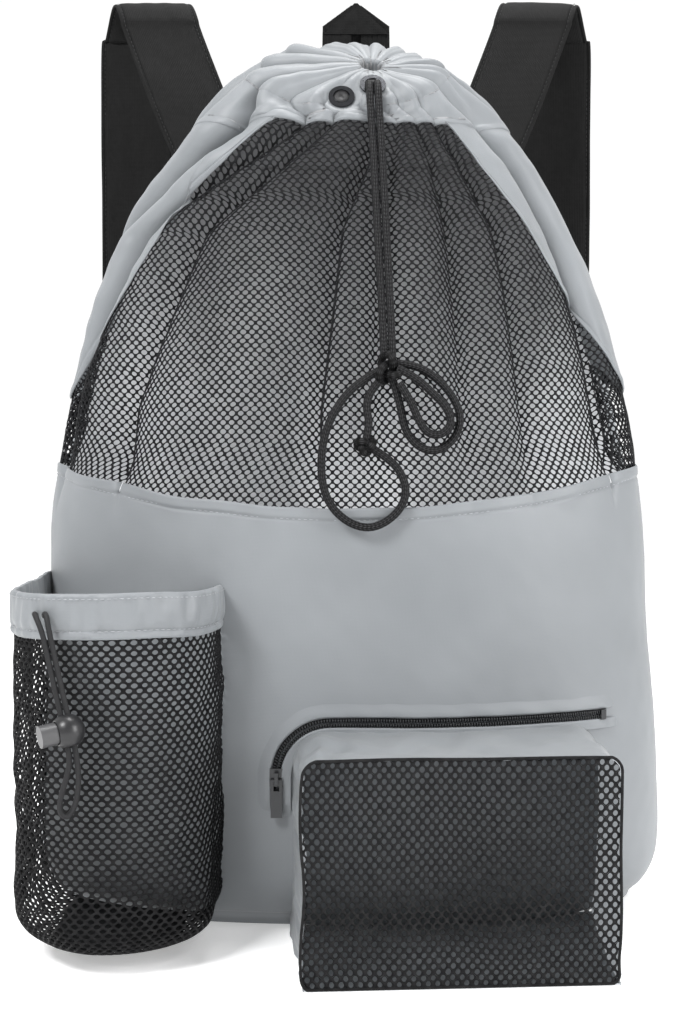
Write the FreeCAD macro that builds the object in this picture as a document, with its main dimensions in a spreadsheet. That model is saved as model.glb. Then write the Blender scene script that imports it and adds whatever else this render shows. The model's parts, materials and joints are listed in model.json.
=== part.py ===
"""Mesh drawstring backpack: a filled bag with a gathered mouth, a bottle pocket, a zip pocket,
two shoulder straps and a drawcord.

Frame: millimetres, +Z up, -Y towards the front of the bag, +X to the right seen from the front.
The origin is the middle of the base, on the surface that the bag stands on.
"""
import FreeCAD, Part
import math
import os

from FreeCAD import Placement, Rotation, Vector

PARTS_FOLDER = "parts"
X_AXIS = Vector(1, 0, 0)
Y_AXIS = Vector(0, 1, 0)
Z_AXIS = Vector(0, 0, 1)
FAR = 400.0  # half size of the cutting blocks, larger than any half of the bag

# ---------------------------------------------------------------------------------------------
# Driving dimensions
# ---------------------------------------------------------------------------------------------
# Stations of the filled bag from the floor up: height, half width, depth in front, depth behind.
STATIONS = [
    ("foot", 0, 166, 70, 64),
    ("heel", 16, 187, 99, 82),
    ("belly", 60, 193, 112, 89),
    ("waist", 180, 185.5, 113, 90),
    ("chest", 300, 172, 107, 86),
    ("shoulder", 385, 146, 95, 76),
    ("neck", 456, 104.5, 80, 60),
    ("throat", 494, 71, 61, 44),
    ("crown", 515, 40, 36, 28),
    ("summit", 523, 12, 12, 8),
]

SIZES = [
    ("fabric", 2.0),               # thickness of a fabric wall
    ("fit_gap", 0.3),              # clearance between a soft piece and what it lies on
    ("base_seam", 12),             # height of the seam round the base panel
    ("panel_seam", 242),           # height of the lower panel's top edge in the middle
    ("panel_seam_rise", 36),       # how much higher that edge is at the sides
    ("collar_seam", 462),          # height where the gathered channel starts
    ("strip_left_reach", 93),      # the mesh's upper corner, left of the middle
    ("strip_left_height", 421),
    ("strip_right_reach", 100),    # the mesh's upper corner, right of the middle
    ("strip_right_height", 404),
    ("strip_end_height", 300),     # height where the side strips run out at the side seams
    ("mesh_neck_left", 40),        # half widths of the mesh where it meets the channel
    ("mesh_neck_right", 56),
    ("mouth_centre_x", 14),        # the gathered mouth, leaning forward
    ("mouth_centre_y", -37),
    ("mouth_centre_z", 503),
    ("mouth_radius", 13),
    ("mouth_tilt", 38),
    ("ring_step", 16),             # how far outside the mouth the cord lies in its channel
    ("cord_dia", 4.4),             # braided drawcord
    ("eyelet_hole_dia", 9.6),
    ("eyelet_flange_dia", 15),
    ("eyelet_metal", 0.9),
    ("eyelet_right_x", 14.5),
    ("eyelet_right_z", 485),
    ("eyelet_left_x", -3.5),
    ("eyelet_left_z", 477),
    ("knot_length", 19),
    ("knot_width", 17.5),
    ("knot_depth", 14),
    ("stopper_length", 12),
    ("stopper_width", 13),
    ("stopper_depth", 10),
    ("loop_web_width", 19),        # hang loop, 20 mm class webbing folded to a point
    ("loop_web_thick", 2.4),
    ("loop_slit", 8),
    ("loop_leg_height", 74),
    ("loop_peak_rise", 15),
    ("loop_centre_x", 6),
    ("loop_foot_z", 478),
    ("loop_lean", 14),
    ("strap_width", 54),           # shoulder straps
    ("strap_thick", 2.6),
    ("strap_top_x", 78),
    ("strap_crest_x", 126),
    ("strap_rear_x", 151),
    ("strap_crest_y", 122),
    ("strap_crest_z", 562),
    ("strap_crest_radius", 27),
    ("strap_patch_low", 418),
    ("strap_patch_high", 450),
    ("strap_patch_half", 98),
    ("strap_bend_z", 330),
    ("strap_tail", 88),            # length of the strap below its bend
    ("web_width", 25),             # lower webbing and its ladder lock
    ("web_thick", 1.8),
    ("lock_frame_width", 34),
    ("lock_frame_height", 30),
    ("lock_frame_thick", 4.6),
    ("lock_bar", 4.4),
    ("tab_thick", 2.4),
    ("corner_tab_y", 80),
    ("corner_tab_z", 30),
    ("bottle_centre_x", -126),     # bottle pocket
    ("bottle_centre_y", -122),
    ("bottle_radius", 55),
    ("bottle_floor", 10),
    ("bottle_fillet", 20),
    ("bottle_hem_low", 178),
    ("bottle_hem_high", 200),
    ("hem_wall", 1.2),
    ("hem_channel", 1.6),
    ("hem_elastic_thick", 1.0),
    ("hem_elastic_width", 10),
    ("elastic_dia", 3.0),          # elastic tail, flat 9 mm elastic taken as a 3 mm round
    ("elastic_spacing", 3.5),
    ("lock_ball_radius", 8.7),     # cord lock
    ("lock_mouth_offset", 5.8),
    ("lock_counterbore_radius", 6.0),
    ("lock_head_radius", 5.7),
    ("lock_head_length", 8.5),
    ("lock_shaft_radius", 4.4),
    ("lock_running_gap", 0.2),
    ("lock_travel", 3.0),
    ("lock_slot_width", 5.2),
    ("lock_cord_hole_radius", 3.7),
    ("lock_yaw", 25),
    ("zip_left", -35),             # zip pocket where it meets the bag
    ("zip_right", 145),
    ("zip_top", 119),
    ("zip_corner", 25),
    ("zip_front_left", -24),       # zip pocket's front face
    ("zip_front_right", 139),
    ("zip_front_top", 118),
    ("zip_front_corner", 8),
    ("zip_front_y", -188),
    ("zip_front_setback", 10),     # how much further back the right end is
    ("zip_mesh_thick", 1.4),
    ("coil_width", 4.4),
    ("coil_thick", 1.9),
    ("coil_offset", 4.4),          # from the pocket's outline to the middle of the coil
    ("tape_width", 9),
    ("tape_thick", 0.8),
    ("stop_clearance", 1.8),       # between the closed slider and the chain's lower stop
    ("stop_length", 3.2),
    ("slider_length", 10),
    ("slider_width", 7.6),
    ("slider_plate", 1.3),
    ("slider_flange", 1.0),
    ("slider_gap", 0.6),
    ("bridge_width", 2.0),
    ("bridge_height", 3.4),
    ("bridge_length", 6.4),
    ("bridge_wall", 1.1),
    ("pull_bar_dia", 1.4),
    ("pull_width", 6.4),
    ("pull_length", 21),
    ("pull_thick", 1.4),
]

doc = FreeCAD.newDocument("DrawstringBackpack")
sheet = doc.addObject("Spreadsheet::Sheet", "Sizes")


def fill_sheet():
    """Write every driving dimension to the sheet as a plain number with its name as the alias."""
    rows = list(SIZES)
    for name, height, half, front, back in STATIONS:
        rows.append((name + "_height", height))
        rows.append((name + "_half_width", half))
        rows.append((name + "_front", front))
        rows.append((name + "_back", back))
    for row, (alias, value) in enumerate(rows, start=1):
        sheet.set("A%d" % row, alias)
        sheet.set("B%d" % row, str(value))
        sheet.setAlias("B%d" % row, alias)
    doc.recompute()


def size(alias):
    """The value of one named dimension."""
    return float(sheet.get(alias))


fill_sheet()
FABRIC = size("fabric")
GAP = size("fit_gap")
subparts = []


# ---------------------------------------------------------------------------------------------
# Helpers
# ---------------------------------------------------------------------------------------------
def keep(obj, label, placement=None):
    """Name a finished sub-part and put it on the list of pieces to write."""
    obj.Label = label
    if placement is not None:
        obj.Placement = placement
    subparts.append(obj)
    return obj


def feature(label, shape):
    """A sub-part whose shape is made in code from the sheet's sizes."""
    obj = doc.addObject("Part::Feature", label)
    obj.Shape = shape
    return keep(obj, label, Placement())


def bind(obj, **expressions):
    """Bind properties to expressions; an underscore pair stands for a dot in the path."""
    for path, expression in expressions.items():
        obj.setExpression(path.replace("__", "."), expression)
    return obj


def primitive(kind, name, base=None, rotation=None, **expressions):
    """A Part primitive with its sizes bound to the sheet, standing at base."""
    obj = doc.addObject("Part::" + kind, name)
    bind(obj, **expressions)
    obj.Placement = Placement(base or Vector(), rotation or Rotation())
    return obj


def boolean(kind, name, first, second):
    """A Part boolean of two document objects."""
    obj = doc.addObject("Part::" + kind, name)
    if kind == "MultiFuse":
        obj.Shapes = [first] + second
    else:
        obj.Base = first
        obj.Tool = second
    return obj


def polygon_prism(points, direction):
    """A solid from a closed flat polygon pushed along direction."""
    face = Part.Face(Part.makePolygon(points + [points[0]]))
    return face.extrude(direction)


def block(x0, x1, y0, y1, z0, z1):
    """A box given by its limits."""
    return Part.makeBox(x1 - x0, y1 - y0, z1 - z0, Vector(x0, y0, z0))


def solid_of(shape):
    """The single solid of a boolean's result, or the largest of several."""
    return max(shape.Solids, key=lambda part: part.Volume)


# ---------------------------------------------------------------------------------------------
# The form of the filled bag
# ---------------------------------------------------------------------------------------------
SECTION_POINTS = 36
SECTION_POWER = 2.4


def section_wire(height, half, front, back):
    """One closed level curve of the bag: a rounded oval, deeper in front than behind."""
    points = []
    for i in range(SECTION_POINTS):
        turn = 2 * math.pi * i / SECTION_POINTS
        c, s = math.cos(turn), math.sin(turn)
        x = half * math.copysign(abs(c) ** (2 / SECTION_POWER), c)
        depth = back if s > 0 else front
        y = depth * math.copysign(abs(s) ** (2 / SECTION_POWER), s)
        points.append(Vector(x, y, height))
    curve = Part.BSplineCurve()
    curve.interpolate(Points=points, PeriodicFlag=True)
    return Part.Wire(curve.toShape())


def bag_form(grow):
    """The whole bag as one solid, grown outwards by grow, or shrunk where grow is negative."""
    wires = []
    for name, *_ in STATIONS:
        height = size(name + "_height")
        if name == "foot":
            height -= grow
        if name == "summit":
            height += grow
        half, front, back = (size(name + tail) + grow for tail in ("_half_width", "_front", "_back"))
        wires.append(section_wire(height, half, front, back))
    return Part.makeLoft(wires, True, False)


outer_form = bag_form(0)
inner_form = bag_form(-FABRIC)
near_form = bag_form(GAP)
shell = outer_form.cut(inner_form)


def surface_y(x, z, side):
    """Y of the bag's outer surface at a place, in front where side is -1 and behind where it is 1."""
    inside = Part.makeLine(Vector(x, 0, z), Vector(x, side * FAR, z)).common(outer_form)
    return max((vertex.Y for vertex in inside.Vertexes), key=abs)


def surface_normal(x, z, side):
    """Outward normal of the bag's surface at a place, from steps of a few millimetres each way."""
    step = 3.0
    slope_x = (surface_y(x + step, z, side) - surface_y(x - step, z, side)) / (2 * step)
    slope_z = (surface_y(x, z + step, side) - surface_y(x, z - step, side)) / (2 * step)
    return Vector(-slope_x, 1, -slope_z).normalize() * side


# ---------------------------------------------------------------------------------------------
# Bag panels
# ---------------------------------------------------------------------------------------------
def seam_profile(bottom):
    """Flat outline in XZ below the curved seam between the lower panel and the mesh."""
    low, rise = size("panel_seam"), size("panel_seam_rise")
    reach = size("belly_half_width")
    arc = Part.Arc(Vector(-reach, -FAR, low + rise), Vector(0, -FAR, low), Vector(reach, -FAR, low + rise))
    corners = [Vector(reach, -FAR, low + rise), Vector(FAR, -FAR, low + rise), Vector(FAR, -FAR, bottom),
               Vector(-FAR, -FAR, bottom), Vector(-FAR, -FAR, low + rise), Vector(-reach, -FAR, low + rise)]
    edges = [arc.toShape()] + [Part.makeLine(a, b) for a, b in zip(corners, corners[1:])]
    return Part.Face(Part.Wire(Part.__sortEdges__(edges)))


def mesh_prism():
    """The region of the mesh panel seen from the front, above the curved seam."""
    top = size("collar_seam")
    points = [
        (-FAR, 0), (-FAR, size("strip_end_height")), (-size("chest_half_width"), size("strip_end_height")),
        (-size("strip_left_reach"), size("strip_left_height")), (-size("mesh_neck_left"), top),
        (size("mesh_neck_right"), top), (size("strip_right_reach"), size("strip_right_height")),
        (size("chest_half_width"), size("strip_end_height")), (FAR, size("strip_end_height")), (FAR, 0)]
    outline = [Vector(x, -FAR, z) for x, z in points]
    return polygon_prism(outline, Vector(0, FAR, 0)).cut(lower_prism)


lower_prism = seam_profile(-FAR).extrude(Vector(0, FAR, 0))


def mouth_rotation():
    """The mouth's axis leans forward from straight up."""
    return Rotation(X_AXIS, size("mouth_tilt"))


MOUTH = Vector(size("mouth_centre_x"), size("mouth_centre_y"), size("mouth_centre_z"))
MOUTH_AXIS = mouth_rotation().multVec(Z_AXIS)


def eyelet_places():
    """Name, centre and axis of each eyelet, on the channel's front wall."""
    places = []
    for side in ("right", "left"):
        x, z = size("eyelet_%s_x" % side), size("eyelet_%s_z" % side)
        axis = surface_normal(x, z, -1)
        places.append((side, Vector(x, surface_y(x, z, -1), z) - axis * (FABRIC / 2), axis))
    return places


def build_bag():
    """Base, lower front panel, mesh panel, back panel and the gathered channel."""
    base_top, collar = size("base_seam"), size("collar_seam")
    below = block(-FAR, FAR, -FAR, FAR, -FAR, base_top)
    above = block(-FAR, FAR, -FAR, FAR, collar, 2 * FAR)
    middle = shell.cut(below).cut(above)
    upper_mesh = mesh_prism()
    feature("base_panel", solid_of(shell.common(below)))
    feature("front_panel", solid_of(middle.common(lower_prism)))
    feature("mesh_panel", solid_of(middle.common(upper_mesh)))
    feature("back_panel", solid_of(middle.cut(lower_prism).cut(upper_mesh)))
    mouth = Part.makeCylinder(size("mouth_radius"), 60, MOUTH - MOUTH_AXIS * 30, MOUTH_AXIS)
    channel = shell.common(above).cut(mouth)
    barrel = size("eyelet_hole_dia") / 2 + size("eyelet_metal") + 0.1
    for side, centre, axis in eyelet_places():
        channel = channel.cut(Part.makeCylinder(barrel, 24, centre - axis * 12, axis))
    feature("drawcord_channel", solid_of(channel))


def build_eyelets():
    """Each eyelet is a flanged metal ring outside and a washer inside the channel's wall."""
    metal = "Sizes.eyelet_metal"
    hole = "Sizes.eyelet_hole_dia / 2"
    flange = "Sizes.eyelet_flange_dia / 2"
    for side, centre, axis in eyelet_places():
        turn = Rotation(Z_AXIS, axis)
        lift = "Sizes.fabric / 2 + Sizes.fit_gap + 0.3"
        disc = primitive("Cylinder", "EyeletFlange" + side, Radius=flange, Height=metal)
        bind(disc, Placement__Base__z=lift)
        barrel = primitive("Cylinder", "EyeletBarrel" + side, Radius=hole + " + " + metal,
                           Height="Sizes.fabric + 2 * Sizes.fit_gap + 2.3")
        bind(barrel, Placement__Base__z="-(Sizes.fabric / 2 + Sizes.fit_gap + 2)")
        body = boolean("MultiFuse", "EyeletBlank" + side, disc, [barrel])
        bore = primitive("Cylinder", "EyeletBore" + side, base=Vector(0, 0, -20), Radius=hole, Height="40")
        keep(boolean("Cut", "Eyelet" + side, body, bore), "eyelet_" + side, Placement(centre, turn))
        plate = primitive("Cylinder", "WasherPlate" + side, Radius=flange, Height=metal)
        bind(plate, Placement__Base__z="-(Sizes.fabric / 2 + Sizes.fit_gap + 0.5 + Sizes.eyelet_metal)")
        seat = primitive("Cylinder", "WasherSeat" + side, base=Vector(0, 0, -20),
                         Radius=hole + " + " + metal + " + 0.05", Height="40")
        keep(boolean("Cut", "Washer" + side, plate, seat), "eyelet_washer_" + side, Placement(centre, turn))


build_bag()
build_eyelets()


# ---------------------------------------------------------------------------------------------
# Cords
# ---------------------------------------------------------------------------------------------
def cord_path(points):
    """Straight runs joined by tangent arcs, as large as the shorter of the two runs at a point allows."""
    vectors = [Vector(*point) for point in points]
    edges = []
    radii = []
    start = vectors[0]
    for before, corner, after in zip(vectors, vectors[1:], vectors[2:]):
        into, out = corner - before, after - corner
        turn = into.getAngle(out)
        reach = 0.45 * min(into.Length, out.Length)
        radius = reach / math.tan(turn / 2)
        into.normalize()
        out.normalize()
        first = corner - into * reach
        last = corner + out * reach
        halfway = (out - into).normalize()
        middle = corner + halfway * (radius / math.cos(turn / 2) - radius)
        edges.append(Part.LineSegment(start, first).toShape())
        edges.append(Part.Arc(first, middle, last).toShape())
        radii.append(radius)
        start = last
    edges.append(Part.LineSegment(start, vectors[-1]).toShape())
    return Part.Wire(edges), radii


def cord_tube(label, points, diameter):
    """A round cord along a route; its volume is compared with its section times its length."""
    path, radii = cord_path(points)
    direction = Vector(*points[1]) - Vector(*points[0])
    ring = Part.Wire(Part.makeCircle(diameter / 2, Vector(*points[0]), direction))
    tube = path.makePipeShell([ring], True, False)
    ideal = math.pi * diameter ** 2 / 4 * path.Length
    print("%-24s length %6.1f  smallest radius %5.1f  volume ratio %.4f"
          % (label, path.Length, min(radii), tube.Volume / ideal))
    return feature(label, tube)


# Routes of the drawcord in front of the bag, each a list of places along its centre line.
DRAWCORD_ROUTES = {
    "drawcord_run_left": [
        (12.2, -61, 482.2), (12.2, -70, 486.6), (12.4, -77.5, 482), (13.2, -82, 467), (14.4, -88, 445),
        (15.6, -94, 418), (17, -100, 388), (18.6, -105, 357), (19.6, -108, 336), (20, -110, 326)],
    "drawcord_run_right": [
        (16.8, -61, 482.4), (16.9, -70.5, 487), (17.2, -78, 482), (17.8, -82.5, 467), (19.1, -88.5, 444),
        (20.4, -94.5, 417), (21.8, -100.5, 388), (23.2, -105.5, 357), (24.2, -108.5, 336),
        (24.4, -110, 326)],
    "drawcord_tail_loop": [
        (17, -112, 318), (8, -112, 313), (-2, -112, 304), (-9, -112.5, 293), (-13.5, -113, 281),
        (-15, -113.5, 267), (-14, -114, 254), (-9, -114.5, 242), (2, -115.5, 233), (14, -116, 231),
        (26, -116, 238), (32.5, -115.5, 249), (30, -115.5, 261), (22, -115, 270), (12, -115, 276)],
    "drawcord_tail_short": [
        (18, -112, 313), (11.5, -111.5, 306), (10, -112, 297), (12, -113, 289), (10, -114, 280)],
    "drawcord_bow_outer": [
        (27, -111.5, 322), (38, -111, 321), (49, -110.5, 314), (58, -110, 304), (63, -110, 292),
        (59, -110.5, 280), (49, -111, 273), (38, -111.5, 276), (31, -111.5, 286), (29, -112, 298),
        (26, -112, 309), (24, -112, 314)],
    "drawcord_bow_inner": [
        (27, -115, 319), (36, -115.5, 315), (46, -115, 306), (54, -114.5, 298), (57.5, -114.5, 289),
        (51, -115, 282), (43, -115.5, 283.5), (38, -116, 292), (34, -116.5, 302), (28, -116, 311)],
}
MAIN_KNOT = Vector(22.3, -112.5, 319)
STOPPER_KNOT = Vector(9.5, -115, 276.5)


def seat_ring(radius, clearance):
    """Centre of the ring of cord that lies against the inside of the channel round the mouth."""
    wall = Part.Shell(inner_form.Faces)
    near, far = 0.0, 2 * size("mouth_radius")
    for _ in range(12):
        depth = (near + far) / 2
        centre = MOUTH - MOUTH_AXIS * depth
        ring = Part.makeCircle(radius, centre, MOUTH_AXIS)
        inside = inner_form.isInside(ring.Vertexes[0].Point, 0.01, True)
        if inside and ring.distToShape(wall)[0] > clearance:
            far = depth
        else:
            near = depth
    return MOUTH - MOUTH_AXIS * far


def build_drawcord():
    """The cord inside the channel, its free runs, the knotted bow and the two knots."""
    diameter = size("cord_dia")
    ring_radius = size("mouth_radius") + size("ring_step")
    ring = primitive("Torus", "ChannelCord", Radius1="Sizes.mouth_radius + Sizes.ring_step",
                     Radius2="Sizes.cord_dia / 2")
    seat = seat_ring(ring_radius, diameter / 2 + GAP)
    keep(ring, "drawcord_in_channel", Placement(seat, mouth_rotation()))
    for label, route in DRAWCORD_ROUTES.items():
        cord_tube(label, route, diameter)
    knots = [("drawcord_knot_main", "knot", MAIN_KNOT, 12),
             ("drawcord_knot_stopper", "stopper", STOPPER_KNOT, -8)]
    for label, stem, centre, lean in knots:
        knot = primitive("Ellipsoid", label, Radius1="Sizes.%s_depth / 2" % stem,
                         Radius2="Sizes.%s_length / 2" % stem, Radius3="Sizes.%s_width / 2" % stem)
        upright = Rotation(X_AXIS, 90)
        keep(knot, label, Placement(centre, Rotation(Y_AXIS, lean).multiply(upright)))


build_drawcord()


# ---------------------------------------------------------------------------------------------
# Hang loop
# ---------------------------------------------------------------------------------------------
def build_hang_loop():
    """Webbing folded flat to a point, its two legs side by side with a slit between them."""
    web, slit = size("loop_web_width"), size("loop_slit")
    leg, peak = size("loop_leg_height"), size("loop_peak_rise")
    half = slit / 2 + web
    body = doc.addObject("PartDesign::Body", "HangLoop")
    sketch = body.newObject("Sketcher::SketchObject", "HangLoopOutline")
    plane = next(f for f in body.Origin.OriginFeatures if f.Role == "XZ_Plane")
    sketch.AttachmentSupport = [(plane, "")]
    sketch.MapMode = "FlatFace"
    slit_top = leg - web * 0.45
    outline = [(-half, 0), (-half + 1.5, leg), (0, leg + peak), (half - 1.5, leg), (half, 0), (slit / 2, 0),
               (slit / 2 - 1, slit_top), (-slit / 2 + 1, slit_top), (-slit / 2, 0)]
    corners = [Vector(x, z, 0) for x, z in outline]
    for start, end in zip(corners, corners[1:] + corners[:1]):
        sketch.addGeometry(Part.LineSegment(start, end), False)
    pad = body.newObject("PartDesign::Pad", "HangLoopPad")
    pad.Profile = sketch
    pad.setExpression("Length", "Sizes.loop_web_thick")
    pad.Midplane = True
    centre_x, foot_z = size("loop_centre_x"), size("loop_foot_z")
    foot = Vector(centre_x, surface_y(centre_x, foot_z, 1) + GAP + size("loop_web_thick") / 2 + 0.3, foot_z)
    keep(body, "hang_loop", Placement(foot, Rotation(X_AXIS, size("loop_lean"))))


build_hang_loop()


# ---------------------------------------------------------------------------------------------
# Shoulder straps
# ---------------------------------------------------------------------------------------------
def band(label, path, width, thickness):
    """A flat band along a path of (x, y, z), its width along X, its thickness across the path."""
    wires = []
    for i, (x, y, z) in enumerate(path):
        before, after = path[max(i - 1, 0)], path[min(i + 1, len(path) - 1)]
        along = Vector(0, after[1] - before[1], after[2] - before[2]).normalize()
        across = Vector(0, -along.z, along.y) * (thickness / 2)
        centre = Vector(x, y, z)
        side = X_AXIS * (width / 2)
        lower = [centre - side - across, centre + side - across]
        upper = [centre + side + across, centre - side + across]
        wires.append(Part.makePolygon(lower + upper + lower[:1]))
    return feature(label, Part.makeLoft(wires, True, True))


def strap_line():
    """Bend point and direction of the straight run from the strap's bend to the corner tab."""
    bend = Vector(0, size("strap_crest_y") + size("strap_crest_radius"), size("strap_bend_z"))
    corner = Vector(0, size("corner_tab_y"), size("corner_tab_z"))
    return bend, (corner - bend).normalize(), (corner - bend).Length


def build_straps():
    """Padded shoulder straps from the patch, over the crest and down to their ladder locks."""
    radius = size("strap_crest_radius")
    crest_y, crest_z = size("strap_crest_y"), size("strap_crest_z")
    top_x, crest_x, rear_x = size("strap_top_x"), size("strap_crest_x"), size("strap_rear_x")
    low, high = size("strap_patch_low"), size("strap_patch_high")
    thick = size("strap_thick")
    patch_form = bag_form(GAP + FABRIC).cut(near_form)
    half = size("strap_patch_half")
    patch = patch_form.common(block(-half, half, 0, FAR, low, high))
    feature("strap_anchor_patch", solid_of(patch))
    bend, down, reach = strap_line()
    tail = size("strap_tail")
    sweep_steps = 8
    for side, sign in (("left", -1), ("right", 1)):
        inner_edge = top_x - size("strap_width") / 2
        seat_low = surface_y(inner_edge, low + 4, 1) + FABRIC + 2 * GAP + thick / 2 + 0.6
        seat_high = surface_y(inner_edge, high, 1) + FABRIC + 2 * GAP + thick / 2 + 0.6
        path = [(top_x, seat_low, low + 4), (top_x + 3, seat_high + 0.4, high)]
        mid_x = top_x + (crest_x - top_x) * 0.55
        path.append((mid_x, (seat_high + crest_y - radius) / 2, (high + crest_z) / 2))
        for i in range(sweep_steps + 1):
            turn = math.pi * i / sweep_steps
            x = crest_x + (rear_x - crest_x) * i / sweep_steps
            path.append((x, crest_y - radius * math.cos(turn), crest_z + radius * math.sin(turn)))
        path.append((rear_x, bend.y, (crest_z + bend.z) / 2))
        path.append((rear_x, bend.y, bend.z + 20))
        for part in (0.06, 1.0):
            point = bend + down * (tail * part)
            path.append((rear_x, point.y, point.z))
        band("shoulder_strap_" + side, [(sign * x, y, z) for x, y, z in path], size("strap_width"), thick)
        build_ladder_lock(side, sign * rear_x, bend, down, tail)
        web = [bend + down * (tail + 3), bend + down * ((tail + reach) / 2), bend + down * (reach - 12)]
        band("lower_webbing_" + side, [(sign * rear_x, p.y, p.z) for p in web], size("web_width"),
             size("web_thick"))
        build_corner_tab(side, sign * rear_x, bend + down * (reach - 12))


def build_ladder_lock(side, x, bend, down, tail):
    """A moulded frame with two slots: the strap's end is sewn to it and the webbing runs through it."""
    width, height = "Sizes.lock_frame_width", "Sizes.lock_frame_height"
    thick, bar = "Sizes.lock_frame_thick", "Sizes.lock_bar"
    slot_height = "(%s - 3 * %s) / 2" % (height, bar)
    frame = primitive("Box", "LockFrame" + side, Length=width, Width=thick, Height=height)
    bind(frame, Placement__Base__x="-%s / 2" % width, Placement__Base__z="-%s / 2" % height)
    slots = []
    for i, level in enumerate(("-%s / 2 + %s" % (height, bar), "%s / 2" % bar)):
        slot = primitive("Box", "LockSlot%s%d" % (side, i), Length="Sizes.web_width + 1", Width="20",
                         Height=slot_height)
        bind(slot, Placement__Base__x="-(Sizes.web_width + 1) / 2", Placement__Base__y="-10",
             Placement__Base__z=level)
        slots.append(slot)
    both = boolean("MultiFuse", "LockSlots" + side, slots[0], slots[1:])
    lock = boolean("Cut", "LadderLock" + side, frame, both)
    lean = Rotation(Vector(0, 0, -1), down)
    depth = size("web_thick") / 2 + GAP
    outward = lean.multVec(Y_AXIS)
    centre = Vector(x, 0, 0) + bend + down * (tail + 16) + outward * depth
    keep(lock, "ladder_lock_" + side, Placement(centre, lean))


def build_corner_tab(side, x, top):
    """A folded tab sewn in the corner of the bag, which holds the lower end of the webbing."""
    thick = size("tab_thick")
    seat = Vector(x, surface_y(x, top.z - 10, 1) - 6, top.z - 10)
    start = Vector(x, top.y, top.z) + Vector(0, -0.5, -1.6)
    along = (seat - start).normalize()
    across = Vector(0, -along.z, along.y) * (thick / 2)
    side_step = X_AXIS * (size("web_width") / 2 + 1)
    corners = [start - side_step - across, start + side_step - across,
               start + side_step + across, start - side_step + across]
    face = Part.Face(Part.makePolygon(corners + corners[:1]))
    tab = face.extrude(seat - start)
    feature("corner_tab_" + side, solid_of(tab.cut(near_form)))


build_straps()


# ---------------------------------------------------------------------------------------------
# Bottle pocket
# ---------------------------------------------------------------------------------------------
# The elastic leaves the hem, runs through the cord lock, turns back in a loop and returns.
LOCK_CENTRE = Vector(-141, -188, 133)
ELASTIC_TOP = Vector(-155.5, -177.5, 189)
ELASTIC_AXIS = (ELASTIC_TOP - LOCK_CENTRE).normalize()
ELASTIC_ROUTE = [
    (-161.5, -163.7, 187.5), (-161.5, -168.7, 190.3), (-159.5, -175.5, 189.5), (-155.5, -179, 182),
    (-152.9, -180.5, 172.5), (-148.8, -183.9, 156), (-143.7, -187.1, 137), (-139.1, -190.8, 119),
    (-141.5, -190, 109), (-145, -187.5, 99), (-146, -185.5, 91), (-142, -184.5, 88), (-138, -185.5, 94),
    (-135.5, -188, 105), (-135.6, -190.8, 119), (-140.3, -187.1, 137), (-145.2, -183.9, 156),
    (-149.5, -180.5, 172.5), (-151.9, -179, 182.2), (-153.8, -176, 190), (-156, -171.5, 190.3),
    (-156.2, -167.6, 187.5)]


def bottle_column(inset, low, high, fillet=0.0):
    """A column with a round front and straight sides running back into the bag."""
    x, y = size("bottle_centre_x"), size("bottle_centre_y")
    radius = size("bottle_radius") - inset
    left, right = Vector(x - radius, y, low), Vector(x + radius, y, low)
    front = Vector(x, y - radius, low)
    back_left, back_right = Vector(x - radius, 0, low), Vector(x + radius, 0, low)
    edges = [Part.Arc(left, front, right).toShape(), Part.makeLine(right, back_right),
             Part.makeLine(back_right, back_left), Part.makeLine(back_left, left)]
    column = Part.Face(Part.Wire(edges)).extrude(Vector(0, 0, high - low))
    if fillet:
        rim = [e for e in column.Edges if abs(e.BoundBox.ZMax - low) < 1e-6 and e.BoundBox.YMin < -1]
        column = column.makeFillet(fillet, rim)
    return column


def build_bottle_pocket():
    """A mesh sleeve with a closed foot, a hem at the top and the elastic inside that hem."""
    floor, hem_low, hem_high = size("bottle_floor"), size("bottle_hem_low"), size("bottle_hem_high")
    round_foot = size("bottle_fillet")
    wall, channel = size("hem_wall"), size("hem_channel")
    mesh = bottle_column(0, floor, hem_low, round_foot).cut(
        bottle_column(FABRIC, floor + FABRIC, hem_low + 1, round_foot - FABRIC))
    feature("bottle_pocket_mesh", solid_of(mesh.cut(near_form)))
    depth = 2 * wall + channel
    hem = bottle_column(0, hem_low, hem_high).cut(bottle_column(depth, hem_low - 1, hem_high + 1))
    slit = bottle_column(wall, hem_low + wall, hem_high - wall)
    slit = slit.cut(bottle_column(wall + channel, hem_low, hem_high))
    hem = hem.cut(slit).cut(near_form)
    for inner, outer in (ELASTIC_ROUTE[:2], ELASTIC_ROUTE[:-3:-1]):
        way = Vector(*outer) - Vector(*inner)
        hem = hem.cut(Part.makeCylinder(size("elastic_dia") / 2 + GAP, 12, Vector(*inner) - way * 0.1, way))
    feature("bottle_pocket_hem", solid_of(hem))
    play = (channel - size("hem_elastic_thick")) / 2
    middle = (hem_low + hem_high) / 2
    half = size("hem_elastic_width") / 2
    elastic = bottle_column(wall + play, middle - half, middle + half).cut(
        bottle_column(wall + channel - play, middle - half - 1, middle + half + 1))
    feature("bottle_hem_elastic", solid_of(elastic.cut(near_form)))


build_bottle_pocket()


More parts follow.
